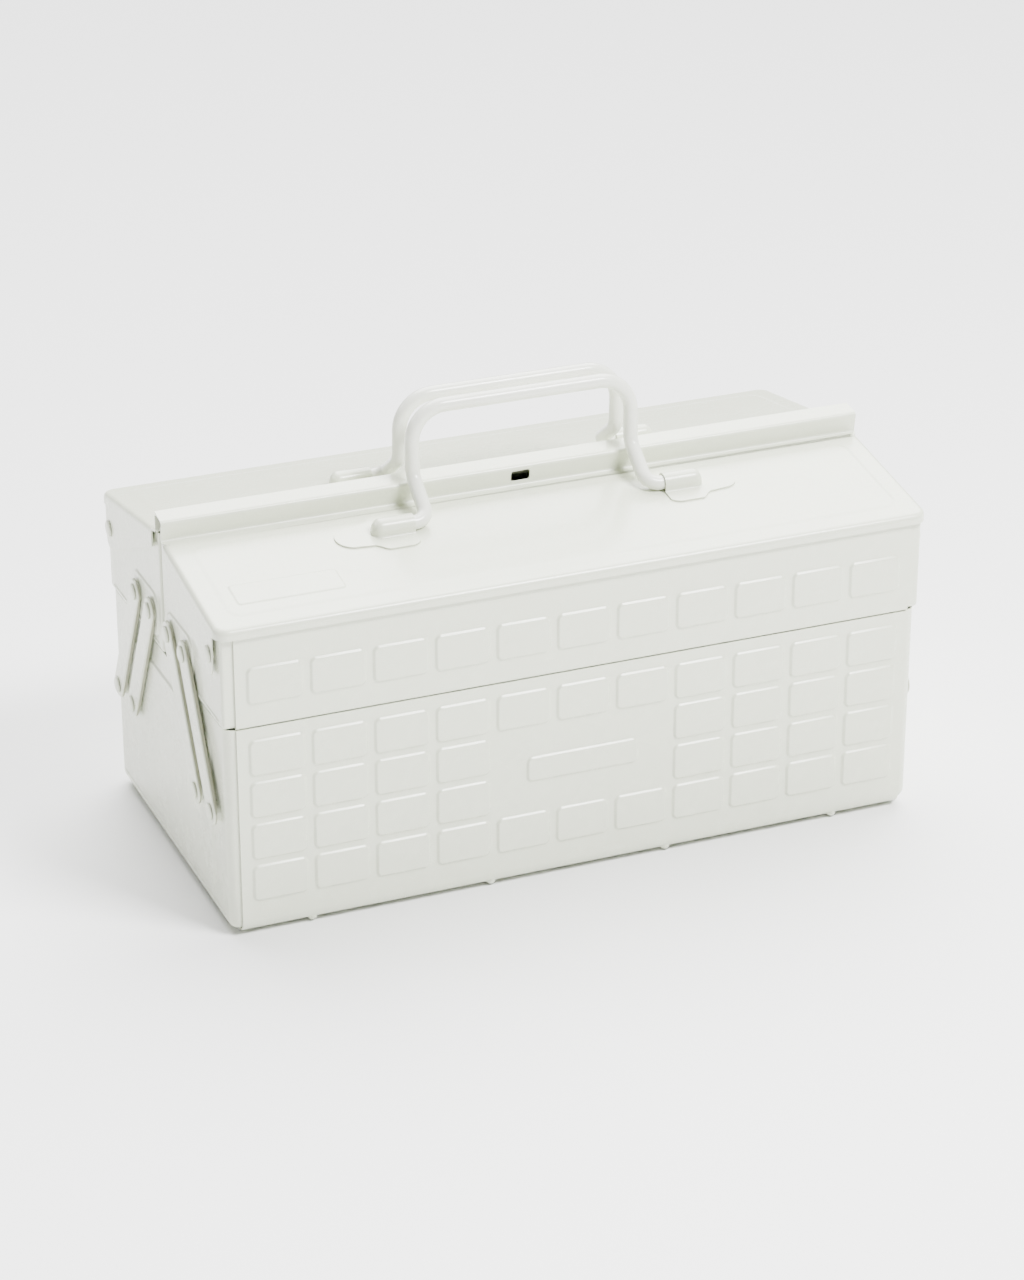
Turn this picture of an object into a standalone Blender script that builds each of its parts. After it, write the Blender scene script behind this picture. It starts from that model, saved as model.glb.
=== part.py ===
"""Cantilever sewing box of pressed and folded sheet steel.

A deep base carries two upper trays on four pairs of parallel arms. Each tray has a sloping
lid hinged on rivets at its outer edge, and each lid has a drop handle held by two clips.
The front of the box faces -Y, the ends face -X and +X, and the box stands on z = 0.
"""

import math

import bmesh
import bpy
from mathutils import Matrix, Vector

MM = 0.001

# Sheet and clearances.
SHEET = 0.7 * MM
GAP = 0.3 * MM
FOLD_STEPS = 3
TOOL_REACH = 3.0 * MM

# Base.
BODY_HALF_DEPTH = 85.3 * MM
SEAM_X = 165.4 * MM
BASE_END_X = 170.5 * MM
BASE_FLOOR_Z = 1.6 * MM
BASE_RIM_Z = 103.6 * MM
BASE_FOLD_RADIUS = 6.0 * MM
FLANGE_DEPTH = 12.0 * MM
SKID_XS = (-131.3 * MM, -44.1 * MM, 44.1 * MM, 131.3 * MM)
SKID_WIDTH = 5.0 * MM
SKID_FLAT = 3.0 * MM
SKID_HALF_LENGTH = 81.0 * MM

# Raised windows pressed in the long walls.
WINDOW_PITCH = 29.4 * MM
WINDOW_ROW_PITCH = 20.8 * MM
WINDOW_WIDE = 26.7 * MM
WINDOW_HIGH = 18.3 * MM
WINDOW_PROUD = 0.7 * MM
WINDOW_CORNER = 2.4 * MM
WINDOW_COLUMNS = 11
BASE_WINDOW_Z = 17.4 * MM
BASE_WINDOW_ROWS = 4
BLANK_ROWS = (1, 2)
BLANK_COLUMNS = (4, 5, 6)
LABEL_WIDE = 56.0 * MM
LABEL_HIGH = 13.0 * MM
TRAY_WINDOW_Z = 115.2 * MM
END_PANEL_HALF_WIDE = 64.3 * MM
END_PANEL_Z = (11.5 * MM, 92.0 * MM)
END_PANEL_CORNER = 8.0 * MM
END_PANEL_PROUD = 0.6 * MM

# Upper trays.
TRAY_FLOOR_Z = 104.2 * MM
TRAY_END_X = 171.2 * MM
TRAY_RIM_Z = 148.8 * MM
TRAY_INNER_Y = 0.4 * MM
TRAY_INNER_WALL_Z = 134.0 * MM
TRAY_FOLD_RADIUS = 3.0 * MM
TRAY_SHOULDER = (76.6 * MM, 151.2 * MM)
TRAY_PEAK_Z = 161.0 * MM
TRAY_PAD_Y = (6.0 * MM, 45.5 * MM)
TRAY_PAD_Z = (108.5 * MM, 131.5 * MM)
TRAY_PAD_CORNER = 8.0 * MM
TRAY_PAD_X = 171.9 * MM
PARTITION_X = 55.0 * MM
PARTITION_HIGH = 24.0 * MM
PARTITION_FOOT = 9.0 * MM

# Arms and their rivets.
ARM_TOP_Z = 121.2 * MM
ARM_BOTTOM_Z = 58.5 * MM
INNER_ARM_TOP_Y = 14.0 * MM
INNER_ARM_BOTTOM_Y = 47.8 * MM
ARM_SPACING = 22.3 * MM
ARM_WIDE = 12.6 * MM
ARM_SHEET = 0.9 * MM
ARM_OUTER_X = 174.2 * MM
ARM_INNER_X = 172.2 * MM
ARM_SEAT_X = 173.0 * MM
SEAT_RADIUS = 5.0 * MM
SHANK_RADIUS = 2.0 * MM
HEAD_RADIUS = 4.0 * MM
HEAD_HIGH = 0.9 * MM
TAIL_RADIUS = 3.4 * MM
TAIL_HIGH = 0.9 * MM
ROUND_STEPS = 12

# Lids.
LID_HALF_DEPTH = 86.9 * MM
LID_END_X = 173.5 * MM
LID_EDGE_Z = 152.7 * MM
LID_LIP_Z = 148.1 * MM
LID_SLOPE = math.radians(9.1)
LID_FOLD_RADIUS = 2.6 * MM
LID_HINGE_Y = 74.3 * MM
LID_HINGE_Z = 137.8 * MM
EAR_OUTER_Y = 79.0 * MM
EAR_BOTTOM = (72.5 * MM, 127.9 * MM)
FLANGE_LOW_INNER = (13.4 * MM, 153.0 * MM)
REAR_FLANGE_INNER_Y = 5.3 * MM
RIDGE_Y = 9.8 * MM
RIDGE_HIGH = 10.0 * MM
RIDGE_WIDE = 10.2 * MM
RIDGE_FOOT_RUN = 2.0 * MM
RIDGE_FOLD_RADIUS = 1.6 * MM
UPSTAND_Y = -1.0 * MM
UPSTAND_HIGH = 7.6 * MM
UPSTAND_FOLD_RADIUS = 1.2 * MM
SLOT_WIDE = 9.4 * MM
SLOT_HIGH = 5.6 * MM

# Handles and clips.
ROD_RADIUS = 3.4 * MM
FRONT_HANDLE_Y = -32.8 * MM
REAR_HANDLE_Y = 23.0 * MM
HANDLE_REACH = 20.2 * MM
HANDLE_BAR_Z = 211.6 * MM
HANDLE_LEG_X = 54.3 * MM
HANDLE_FOOT_X = 79.0 * MM
HANDLE_CORNER_RADIUS = 16.0 * MM
HANDLE_FOOT_RADIUS = 6.5 * MM
HANDLE_KNEE_RADIUS = 9.0 * MM
HANDLE_KNEE_RISE = 14.5 * MM
CLIP_SHEET = 0.8 * MM
CLIP_START_X = 62.4 * MM
CLIP_CHANNEL_END_X = 82.0 * MM
CLIP_WIDE_HALF = 13.7 * MM
CLIP_WIDE_X = (65.0 * MM, 77.6 * MM)
CLIP_WAIST_X = 83.0 * MM
CLIP_TONGUE_HALF = 8.3 * MM
CLIP_END_X = 99.0 * MM

PAINT = (0.80, 0.82, 0.77)
PARTS_NAME = "sewing_box_with_trays"


def clear_scene():
    for obj in list(bpy.data.objects):
        bpy.data.objects.remove(obj)


def new_collection(name, hidden=False):
    collection = bpy.data.collections.new(name)
    bpy.context.scene.collection.children.link(collection)
    collection.hide_render = hidden
    return collection


def painted(name, roughness=0.28):
    """A Principled material of white gloss paint for one object."""
    material = bpy.data.materials.new(name + "_paint")
    material.use_nodes = True
    shader = material.node_tree.nodes["Principled BSDF"]
    shader.inputs["Base Color"].default_value = (*PAINT, 1.0)
    shader.inputs["Roughness"].default_value = roughness
    shader.inputs["Metallic"].default_value = 0.0
    return material


def add_object(name, bm, collection):
    mesh = bpy.data.meshes.new(name)
    bm.to_mesh(mesh)
    bm.free()
    obj = bpy.data.objects.new(name, mesh)
    collection.objects.link(obj)
    return obj


def add_part(name, bm, parts):
    obj = add_object(name, bm, parts)
    obj.data.materials.append(painted(name))
    return obj


def add_cutter(name, bm, cutters):
    obj = add_object(name, bm, cutters)
    obj.hide_render = True
    obj.display_type = "WIRE"
    return obj


def put_origin(obj, point):
    """Moves the object's origin to a point without moving its shape."""
    shift = Vector(point) - obj.location
    obj.data.transform(Matrix.Translation(-shift))
    obj.location = point


def solidify(obj, thickness=SHEET):
    modifier = obj.modifiers.new("Sheet", "SOLIDIFY")
    modifier.thickness = thickness
    modifier.offset = -1.0
    modifier.use_even_offset = True


def boolean(obj, other, operation):
    modifier = obj.modifiers.new(operation.title(), "BOOLEAN")
    modifier.operation = operation
    modifier.object = other
    modifier.solver = "EXACT"


def rounded_path(corners, radii, steps=FOLD_STEPS):
    """The points of a path whose inner corners are arcs of the given radii."""
    points = [corners[0]]
    for before, corner, after, radius in zip(corners, corners[1:], corners[2:], radii):
        back = (before - corner).normalized()
        ahead = (after - corner).normalized()
        half_angle = back.angle(ahead) / 2
        centre = corner + (back + ahead).normalized() * radius / math.sin(half_angle)
        spoke = corner + back * radius / math.tan(half_angle) - centre
        axis = ahead.cross(back)
        for step in range(steps + 1):
            turn = Matrix.Rotation((math.pi - 2 * half_angle) * step / steps, 3, axis)
            points.append(centre + turn @ spoke)
    points.append(corners[-1])
    return points


def face_near(bm, point):
    """The face whose middle is closest to a point."""
    return min(bm.faces, key=lambda face: (face.calc_center_median() - point).length)


def face_towards(bm, face, direction):
    """Turns all faces round if this one faces away from the direction."""
    bmesh.ops.recalc_face_normals(bm, faces=bm.faces[:])
    face.normal_update()
    if face.normal.dot(Vector(direction)) < 0:
        bmesh.ops.reverse_faces(bm, faces=bm.faces[:])


def strip(path, half_length, outward):
    """An open sheet: a path in the YZ plane carried along X. Its first face looks outward."""
    bm = bmesh.new()
    verts = [bm.verts.new((-half_length, point.y, point.z)) for point in path]
    edges = [bm.edges.new(pair) for pair in zip(verts, verts[1:])]
    made = bmesh.ops.extrude_edge_only(bm, edges=edges)["geom"]
    ends = [item for item in made if isinstance(item, bmesh.types.BMVert)]
    bmesh.ops.translate(bm, verts=ends, vec=(2 * half_length, 0, 0))
    face_towards(bm, face_near(bm, (path[0] + path[1]) / 2), outward)
    return bm


def yz(y, z):
    return Vector((0.0, y, z))


def add_panel(bm, centre, size, corner, depth_axis, steps=1):
    """Adds a block with its four edges along the depth axis bevelled."""
    scale = Matrix.Diagonal((*size, 1.0))
    verts = bmesh.ops.create_cube(bm, size=1.0, matrix=Matrix.Translation(centre) @ scale)["verts"]
    edges = {edge for vert in verts for edge in vert.link_edges}
    along = [
        edge
        for edge in edges
        if abs((edge.verts[0].co - edge.verts[1].co).normalized()[depth_axis]) > 0.9
    ]
    bmesh.ops.bevel(bm, geom=along, offset=corner, segments=steps, affect="EDGES", profile=0.5)


def add_window(bm, x, low_z, wall_y, side):
    """Adds one raised window to a long wall. Side is -1 on the front and 1 on the rear."""
    inside = SHEET / 2
    centre = (x, side * (wall_y + (WINDOW_PROUD - inside) / 2), low_z + WINDOW_HIGH / 2)
    size = (WINDOW_WIDE, WINDOW_PROUD + inside, WINDOW_HIGH)
    add_panel(bm, centre, size, WINDOW_CORNER, 1)


def column_x(column):
    return (column - (WINDOW_COLUMNS - 1) / 2) * WINDOW_PITCH


def base_windows(cutters):
    """The raised windows of both long walls and the blank label between them."""
    bm = bmesh.new()
    for side in (-1, 1):
        for row in range(BASE_WINDOW_ROWS):
            for column in range(WINDOW_COLUMNS):
                if row in BLANK_ROWS and column in BLANK_COLUMNS:
                    continue
                low_z = BASE_WINDOW_Z + row * WINDOW_ROW_PITCH
                add_window(bm, column_x(column), low_z, BODY_HALF_DEPTH, side)
        inside = SHEET / 2
        label_z = BASE_WINDOW_Z + 1.5 * WINDOW_ROW_PITCH + WINDOW_HIGH / 2
        centre = (0, side * (BODY_HALF_DEPTH + (WINDOW_PROUD - inside) / 2), label_z)
        size = (LABEL_WIDE, WINDOW_PROUD + inside, LABEL_HIGH)
        add_panel(bm, centre, size, WINDOW_CORNER, 1)
    return add_cutter("base_window_tool", bm, cutters)


def skids(cutters):
    """Four ribs across the underside, each with a flat foot."""
    bm = bmesh.new()
    depth = BASE_FLOOR_Z + SHEET / 2
    for x in SKID_XS:
        centre = Matrix.Translation((x, 0, depth / 2))
        scale = Matrix.Diagonal((SKID_WIDTH, 2 * SKID_HALF_LENGTH, depth, 1.0))
        verts = bmesh.ops.create_cube(bm, size=1.0, matrix=centre @ scale)["verts"]
        for vert in verts:
            if vert.co.z < depth / 2:
                vert.co.x = x + (SKID_FLAT / 2 if vert.co.x > x else -SKID_FLAT / 2)
                vert.co.y -= math.copysign(BASE_FLOOR_Z, vert.co.y)
    return add_cutter("skid_tool", bm, cutters)


def row_lines(side):
    """Points between the window rows of a long wall, so that each row has its own face."""
    gap = (WINDOW_ROW_PITCH - WINDOW_HIGH) / 2
    heights = [
        BASE_WINDOW_Z + row * WINDOW_ROW_PITCH - gap for row in range(1, BASE_WINDOW_ROWS)
    ]
    return [yz(side * BODY_HALF_DEPTH, height) for height in heights]


def base_shell(parts, cutters):
    """The front wall, floor and rear wall, folded from one sheet."""
    corners = [
        yz(-BODY_HALF_DEPTH, BASE_RIM_Z),
        yz(-BODY_HALF_DEPTH, BASE_FLOOR_Z),
        yz(BODY_HALF_DEPTH, BASE_FLOOR_Z),
        yz(BODY_HALF_DEPTH, BASE_RIM_Z),
    ]
    path = rounded_path(corners, [BASE_FOLD_RADIUS] * 2)
    path = path[:1] + row_lines(-1)[::-1] + path[1:-1] + row_lines(1) + path[-1:]
    shell = add_part("base_shell", strip(path, SEAM_X, (0, -1, 0)), parts)
    solidify(shell)
    boolean(shell, base_windows(cutters), "UNION")
    boolean(shell, skids(cutters), "UNION")


def pan(outline, folded, end_x, side, radius, depth=FLANGE_DEPTH):
    """An end plate with inward flanges along the folded edges of its outline.

    The outline is a list of (y, z) points, and folded holds the numbers of the edges, each
    from its point to the next, that carry a flange.
    """
    bm = bmesh.new()
    verts = [bm.verts.new((side * end_x, y, z)) for y, z in outline]
    plate = bm.faces.new(verts)
    edges = [bm.edges.get((verts[n], verts[(n + 1) % len(verts)])) for n in folded]
    made = bmesh.ops.extrude_edge_only(bm, edges=edges)["geom"]
    ends = [item for item in made if isinstance(item, bmesh.types.BMVert)]
    bmesh.ops.translate(bm, verts=ends, vec=(-side * depth, 0, 0))
    face_towards(bm, plate, (side, 0, 0))
    folds = list(edges)
    for first, second in zip(folded, folded[1:]):
        shared = verts[second % len(verts)] if second == first + 1 else None
        folds += [
            edge
            for edge in (shared.link_edges if shared else ())
            if edge not in edges and abs(edge.verts[0].co.x - edge.verts[1].co.x) > depth / 2
        ]
    bmesh.ops.bevel(
        bm, geom=folds, offset=radius, segments=FOLD_STEPS, affect="EDGES", profile=0.5
    )
    return bm


def add_round(bm, radius, x_from, x_to, y, z, steps=ROUND_STEPS):
    """Adds a closed cylinder along X."""
    turn = Matrix.Rotation(math.pi / 2, 4, "Y")
    centre = Matrix.Translation(((x_from + x_to) / 2, y, z))
    bmesh.ops.create_cone(
        bm,
        cap_ends=True,
        segments=steps,
        radius1=radius,
        radius2=radius,
        depth=abs(x_to - x_from),
        matrix=centre @ turn,
    )


def rivet_holes(name, places, x_from, x_to, cutters):
    bm = bmesh.new()
    for y, z in places:
        add_round(bm, SHANK_RADIUS + GAP, x_from, x_to, y, z)
    return add_cutter(name, bm, cutters)


def seat_rivets(plate, word, side, end_x, places, holes, cutters):
    """Adds a round seat under each arm and opens the rivet holes of an end plate."""
    seats = bmesh.new()
    for y, z in places:
        add_round(seats, SEAT_RADIUS, side * (end_x - SHEET / 2), side * ARM_SEAT_X, y, z)
    boolean(plate, add_cutter(word + "_seat_tool", seats, cutters), "UNION")
    inner_x = side * (end_x - TOOL_REACH)
    outer_x = side * (ARM_SEAT_X + TOOL_REACH)
    tool = rivet_holes(word + "_hole_tool", holes, inner_x, outer_x, cutters)
    boolean(plate, tool, "DIFFERENCE")


def base_end(side, parts, cutters):
    """An end plate whose flanges are tucked inside the base shell."""
    inset = SHEET + GAP
    half = BODY_HALF_DEPTH - inset
    low = BASE_FLOOR_Z + inset
    outline = [(-half, BASE_RIM_Z), (-half, low), (half, low), (half, BASE_RIM_Z)]
    word = "left" if side < 0 else "right"
    bm = pan(outline, (0, 1, 2), BASE_END_X, side, BASE_FOLD_RADIUS - inset)
    plate = add_part("base_end_" + word, bm, parts)
    solidify(plate)

    panel = bmesh.new()
    inside = SHEET / 2
    centre_x = side * (BASE_END_X + (END_PANEL_PROUD - inside) / 2)
    low_z, high_z = END_PANEL_Z
    size = (END_PANEL_PROUD + inside, 2 * END_PANEL_HALF_WIDE, high_z - low_z)
    add_panel(panel, (centre_x, 0, (low_z + high_z) / 2), size, END_PANEL_CORNER, 0, 3)
    boolean(plate, add_cutter("base_panel_tool_" + word, panel, cutters), "UNION")

    places = [(y, ARM_BOTTOM_Z) for y in arm_ys(INNER_ARM_BOTTOM_Y)]
    seat_rivets(plate, "base_" + word, side, BASE_END_X, places, places, cutters)


def arm_ys(inner_y):
    """The four pivots of one end, from the front to the rear."""
    outer_y = inner_y + ARM_SPACING
    return (-outer_y, -inner_y, inner_y, outer_y)


def tray_shell(name, facing, parts, cutters):
    """Outer wall, floor and low inner wall of a tray. Facing is -1 for the front tray."""
    corners = [
        yz(facing * BODY_HALF_DEPTH, TRAY_RIM_Z),
        yz(facing * BODY_HALF_DEPTH, TRAY_FLOOR_Z),
        yz(facing * TRAY_INNER_Y, TRAY_FLOOR_Z),
        yz(facing * TRAY_INNER_Y, TRAY_INNER_WALL_Z),
    ]
    path = rounded_path(corners, [TRAY_FOLD_RADIUS] * 2)
    gap = (WINDOW_ROW_PITCH - WINDOW_HIGH) / 2
    above = yz(facing * BODY_HALF_DEPTH, TRAY_WINDOW_Z + WINDOW_HIGH + gap)
    below = yz(facing * BODY_HALF_DEPTH, TRAY_WINDOW_Z - gap)
    path = path[:1] + [above, below] + path[1:]
    shell = add_part(name + "_tray_shell", strip(path, SEAM_X, (0, facing, 0)), parts)
    solidify(shell)
    windows = bmesh.new()
    for column in range(WINDOW_COLUMNS):
        add_window(windows, column_x(column), TRAY_WINDOW_Z, BODY_HALF_DEPTH, facing)
    boolean(shell, add_cutter(name + "_window_tool", windows, cutters), "UNION")
    return shell


def tray_end(name, facing, side, parts, cutters):
    """The gabled end plate of a tray, with the raised pad that carries the arm rivets."""
    inset = SHEET + GAP
    outer_y = BODY_HALF_DEPTH - inset
    inner_y = TRAY_INNER_Y + inset
    shoulder_y, shoulder_z = TRAY_SHOULDER
    low = TRAY_FLOOR_Z + inset
    outline = [
        (facing * outer_y, TRAY_RIM_Z),
        (facing * outer_y, low),
        (facing * inner_y, low),
        (facing * inner_y, TRAY_PEAK_Z),
        (facing * shoulder_y, shoulder_z),
    ]
    word = "left" if side < 0 else "right"
    radius = TRAY_FOLD_RADIUS - SHEET
    bm = pan(outline, (0, 1, 2), TRAY_END_X, side, radius)
    plate = add_part(f"{name}_tray_end_{word}", bm, parts)
    solidify(plate)

    pad = bmesh.new()
    near_y, far_y = TRAY_PAD_Y
    low_z, high_z = TRAY_PAD_Z
    inner_x = TRAY_END_X - SHEET / 2
    size = (TRAY_PAD_X - inner_x, far_y - near_y, high_z - low_z)
    middle_x = (inner_x + TRAY_PAD_X) / 2
    centre = (side * middle_x, facing * (near_y + far_y) / 2, (low_z + high_z) / 2)
    add_panel(pad, centre, size, TRAY_PAD_CORNER, 0, 3)
    boolean(plate, add_cutter(f"{name}_pad_tool_{word}", pad, cutters), "UNION")

    pivots = [y for y in arm_ys(INNER_ARM_TOP_Y) if y * facing > 0]
    places = [(y, ARM_TOP_Z) for y in pivots]
    holes = places + [(facing * LID_HINGE_Y, LID_HINGE_Z)]
    seat_rivets(plate, f"{name}_tray_{word}", side, TRAY_END_X, places, holes, cutters)
    return plate


def partition(name, facing, x, parts):
    """A divider across a tray, with a foot folded along its lower edge."""
    inset = SHEET + GAP
    floor_z = TRAY_FLOOR_Z + inset
    bm = bmesh.new()
    corners = [
        Vector((x + PARTITION_FOOT, 0, floor_z + SHEET)),
        Vector((x, 0, floor_z + SHEET)),
        Vector((x, 0, floor_z + PARTITION_HIGH)),
    ]
    path = rounded_path(corners, [1.5 * MM])
    near_y = TRAY_INNER_Y + inset + 2 * MM
    far_y = BODY_HALF_DEPTH - inset - 2 * MM
    verts = [bm.verts.new((point.x, facing * near_y, point.z)) for point in path]
    edges = [bm.edges.new(pair) for pair in zip(verts, verts[1:])]
    made = bmesh.ops.extrude_edge_only(bm, edges=edges)["geom"]
    ends = [item for item in made if isinstance(item, bmesh.types.BMVert)]
    bmesh.ops.translate(bm, verts=ends, vec=(0, facing * (far_y - near_y), 0))
    foot = min(bm.faces, key=lambda face: face.calc_center_median().z)
    face_towards(bm, foot, (0, 0, 1))
    sheet = add_part(name + "_tray_partition", bm, parts)
    solidify(sheet)
    return sheet


def tray(name, facing, parts, cutters):
    pieces = [tray_shell(name, facing, parts, cutters)]
    pieces += [tray_end(name, facing, side, parts, cutters) for side in (-1, 1)]
    pieces.append(partition(name, facing, -facing * PARTITION_X, parts))
    for piece in pieces:
        put_origin(piece, (0, facing * INNER_ARM_TOP_Y, ARM_TOP_Z))


def arm_mesh():
    """A flat link with round ends and a shallow lip along each side.

    The lower pivot is the origin, the link runs up Z, and its outer face looks along +X at
    x = 0. The lips point along -X.
    """
    length = math.hypot(INNER_ARM_BOTTOM_Y - INNER_ARM_TOP_Y, ARM_TOP_Z - ARM_BOTTOM_Z)
    half = ARM_WIDE / 2
    lip_start = 3 * MM
    bm = bmesh.new()
    outline = []
    for centre_z, first in ((length, 0.0), (0.0, math.pi)):
        for step in range(ROUND_STEPS // 2 + 1):
            angle = first + math.pi * step / (ROUND_STEPS // 2)
            outline.append((half * math.cos(angle), centre_z + half * math.sin(angle)))
        edge_z = length - lip_start if first == 0.0 else lip_start
        side = -1 if first == 0.0 else 1
        outline.append((side * half, edge_z))
        outline.append((side * half, length - edge_z))
    verts = [bm.verts.new((0, y, z)) for y, z in outline]
    plate = bm.faces.new(verts)
    lips = [
        edge
        for edge in bm.edges
        if abs(abs(edge.verts[0].co.z - edge.verts[1].co.z) - (length - 2 * lip_start)) < 0.01 * MM
    ]
    made = bmesh.ops.extrude_edge_only(bm, edges=lips)["geom"]
    ends = [item for item in made if isinstance(item, bmesh.types.BMVert)]
    bmesh.ops.translate(bm, verts=ends, vec=(-(ARM_OUTER_X - ARM_INNER_X), 0, 0))
    face_towards(bm, plate, (1, 0, 0))
    bmesh.ops.bevel(bm, geom=lips, offset=0.8 * MM, segments=2, affect="EDGES", profile=0.5)
    return bm, length


def arm(name, facing, side, bottom_y, parts, cutters):
    """One link, standing on its lower pivot and leaning towards the middle of the box."""
    lean = math.atan2(INNER_ARM_BOTTOM_Y - INNER_ARM_TOP_Y, ARM_TOP_Z - ARM_BOTTOM_Z)
    bm, length = arm_mesh()
    if side < 0:
        bmesh.ops.rotate(bm, verts=bm.verts, cent=(0, 0, 0), matrix=Matrix.Rotation(math.pi, 3, "Z"))
    link = add_part(name, bm, parts)
    link.location = (side * ARM_OUTER_X, bottom_y, ARM_BOTTOM_Z)
    link.rotation_euler = (facing * lean, 0, 0)
    solidify(link, ARM_SHEET)
    top_y = bottom_y - facing * length * math.sin(lean)
    places = [(bottom_y, ARM_BOTTOM_Z), (top_y, ARM_TOP_Z)]
    outer = side * (ARM_OUTER_X + TOOL_REACH)
    inner = side * (ARM_OUTER_X - TOOL_REACH)
    boolean(link, rivet_holes(name + "_hole_tool", places, inner, outer, cutters), "DIFFERENCE")


def rivet(name, side, head_x, tail_x, y, z, parts):
    """A domed rivet turned about its shank, with its head's underside at head_x."""
    grip = head_x - tail_x
    dome = [
        (HEAD_RADIUS * math.sin(angle), HEAD_HIGH * math.cos(angle))
        for angle in (0.0, math.radians(35), math.radians(65), math.pi / 2)
    ]
    profile = dome + [
        (SHANK_RADIUS, 0.0),
        (SHANK_RADIUS, -grip),
        (TAIL_RADIUS, -grip),
        (TAIL_RADIUS - 0.5 * MM, -grip - TAIL_HIGH),
        (0.0, -grip - TAIL_HIGH),
    ]
    bm = bmesh.new()
    verts = [bm.verts.new((radius, 0, height)) for radius, height in profile]
    for pair in zip(verts, verts[1:]):
        bm.edges.new(pair)
    pin = add_part(name, bm, parts)
    turned = pin.modifiers.new("Turned", "SCREW")
    turned.axis = "Z"
    turned.steps = ROUND_STEPS
    turned.render_steps = ROUND_STEPS
    turned.use_merge_vertices = True
    turned.merge_threshold = 0.00001
    turned.use_smooth_shade = True
    pin.location = (side * head_x, y, z)
    pin.rotation_euler = (0, side * math.pi / 2, 0)


def linkage(parts, cutters):
    """Eight arms, and the rivets that carry them on the base and on the trays."""
    head_x = ARM_OUTER_X + GAP
    for facing, half in ((-1, "front"), (1, "rear")):
        for side, word in ((-1, "left"), (1, "right")):
            for place, offset in (("inner", 0.0), ("outer", ARM_SPACING)):
                bottom_y = facing * (INNER_ARM_BOTTOM_Y + offset)
                top_y = facing * (INNER_ARM_TOP_Y + offset)
                name = f"{half}_{place}_arm_{word}"
                arm(name, facing, side, bottom_y, parts, cutters)
                base_tail = BASE_END_X - SHEET - GAP
                tray_tail = TRAY_END_X - SHEET - GAP
                foot = f"{half}_{place}_foot_rivet_{word}"
                rivet(foot, side, head_x, base_tail, bottom_y, ARM_BOTTOM_Z, parts)
                top = f"{half}_{place}_tray_rivet_{word}"
                rivet(top, side, head_x, tray_tail, top_y, ARM_TOP_Z, parts)
            hinge = f"{half}_lid_rivet_{word}"
            tail = TRAY_END_X - SHEET - GAP
            outer_x = LID_END_X + GAP
            rivet(hinge, side, outer_x, tail, facing * LID_HINGE_Y, LID_HINGE_Z, parts)


def lid_z(y):
    """Height of the top of a lid at a distance from the middle plane."""
    return LID_EDGE_Z + (LID_HALF_DEPTH - abs(y)) * math.tan(LID_SLOPE)


def flange_outline(inner_y):
    """The (distance from the middle, z) points of a lid's end flange below its fold."""
    ear_y, ear_z = EAR_BOTTOM
    low_y, low_z = FLANGE_LOW_INNER
    ear = rounded_path(
        [
            yz(EAR_OUTER_Y, LID_LIP_Z),
            yz(EAR_OUTER_Y, ear_z - (EAR_OUTER_Y - ear_y) * 0.42),
            yz(low_y, low_z),
            yz(inner_y, low_z + (low_y - inner_y) * 0.42),
            yz(inner_y, lid_z(inner_y)),
        ],
        [5.0 * MM, 8.0 * MM, 1.0 * MM],
    )
    return [(point.y, point.z) for point in ear[:-1]]


def lid_sheet(facing, inner_y, flange_inner_y):
    """The sloping top, its outer lip and its two end flanges, as one open sheet."""
    bm = bmesh.new()
    folds = []
    top = {}
    for side in (-1, 1):
        x = side * LID_END_X
        top[side] = [
            bm.verts.new((x, facing * y, lid_z(y)))
            for y in (LID_HALF_DEPTH, flange_inner_y, inner_y)
        ]
    plate = bm.faces.new(top[-1] + top[1][::-1])
    for side in (-1, 1):
        outer, inner = top[side][:2]
        corner = bm.verts.new((side * LID_END_X, facing * LID_HALF_DEPTH, LID_LIP_Z))
        low = [
            bm.verts.new((side * LID_END_X, facing * y, z))
            for y, z in flange_outline(flange_inner_y)
        ]
        bm.faces.new([inner, outer, corner] + low)
        folds += [bm.edges.get((inner, outer)), bm.edges.get((outer, corner))]
        top[side].append(corner)
    bm.faces.new([top[-1][0], top[1][0], top[1][3], top[-1][3]])
    folds.append(bm.edges.get((top[-1][0], top[1][0])))
    face_towards(bm, plate, (0, 0, 1))
    bmesh.ops.bevel(
        bm, geom=folds, offset=LID_FOLD_RADIUS, segments=FOLD_STEPS, affect="EDGES", profile=0.5
    )
    return bm


def inner_edge(bm, facing, inner_y):
    """The edges of the sheet that lie along the middle of the box."""
    return [
        edge
        for edge in bm.edges
        if all(abs(vert.co.y - facing * inner_y) < 0.01 * MM for vert in edge.verts)
        and abs(edge.verts[0].co.x - edge.verts[1].co.x) > LID_END_X
    ]


def raise_edge(bm, edges, vector):
    """Extrudes an edge of the sheet and gives back the new edge."""
    made = bmesh.ops.extrude_edge_only(bm, edges=edges)["geom"]
    verts = [item for item in made if isinstance(item, bmesh.types.BMVert)]
    bmesh.ops.translate(bm, verts=verts, vec=vector)
    return [bm.edges.get(verts)]


def slot_tool(name, y, z, cutters):
    """A rounded slot for a padlock's shackle, through one wall."""
    bm = bmesh.new()
    add_panel(bm, (0, y, z), (SLOT_WIDE, 4 * MM, SLOT_HIGH), 1.4 * MM, 1, 2)
    return add_cutter(name, bm, cutters)


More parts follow.
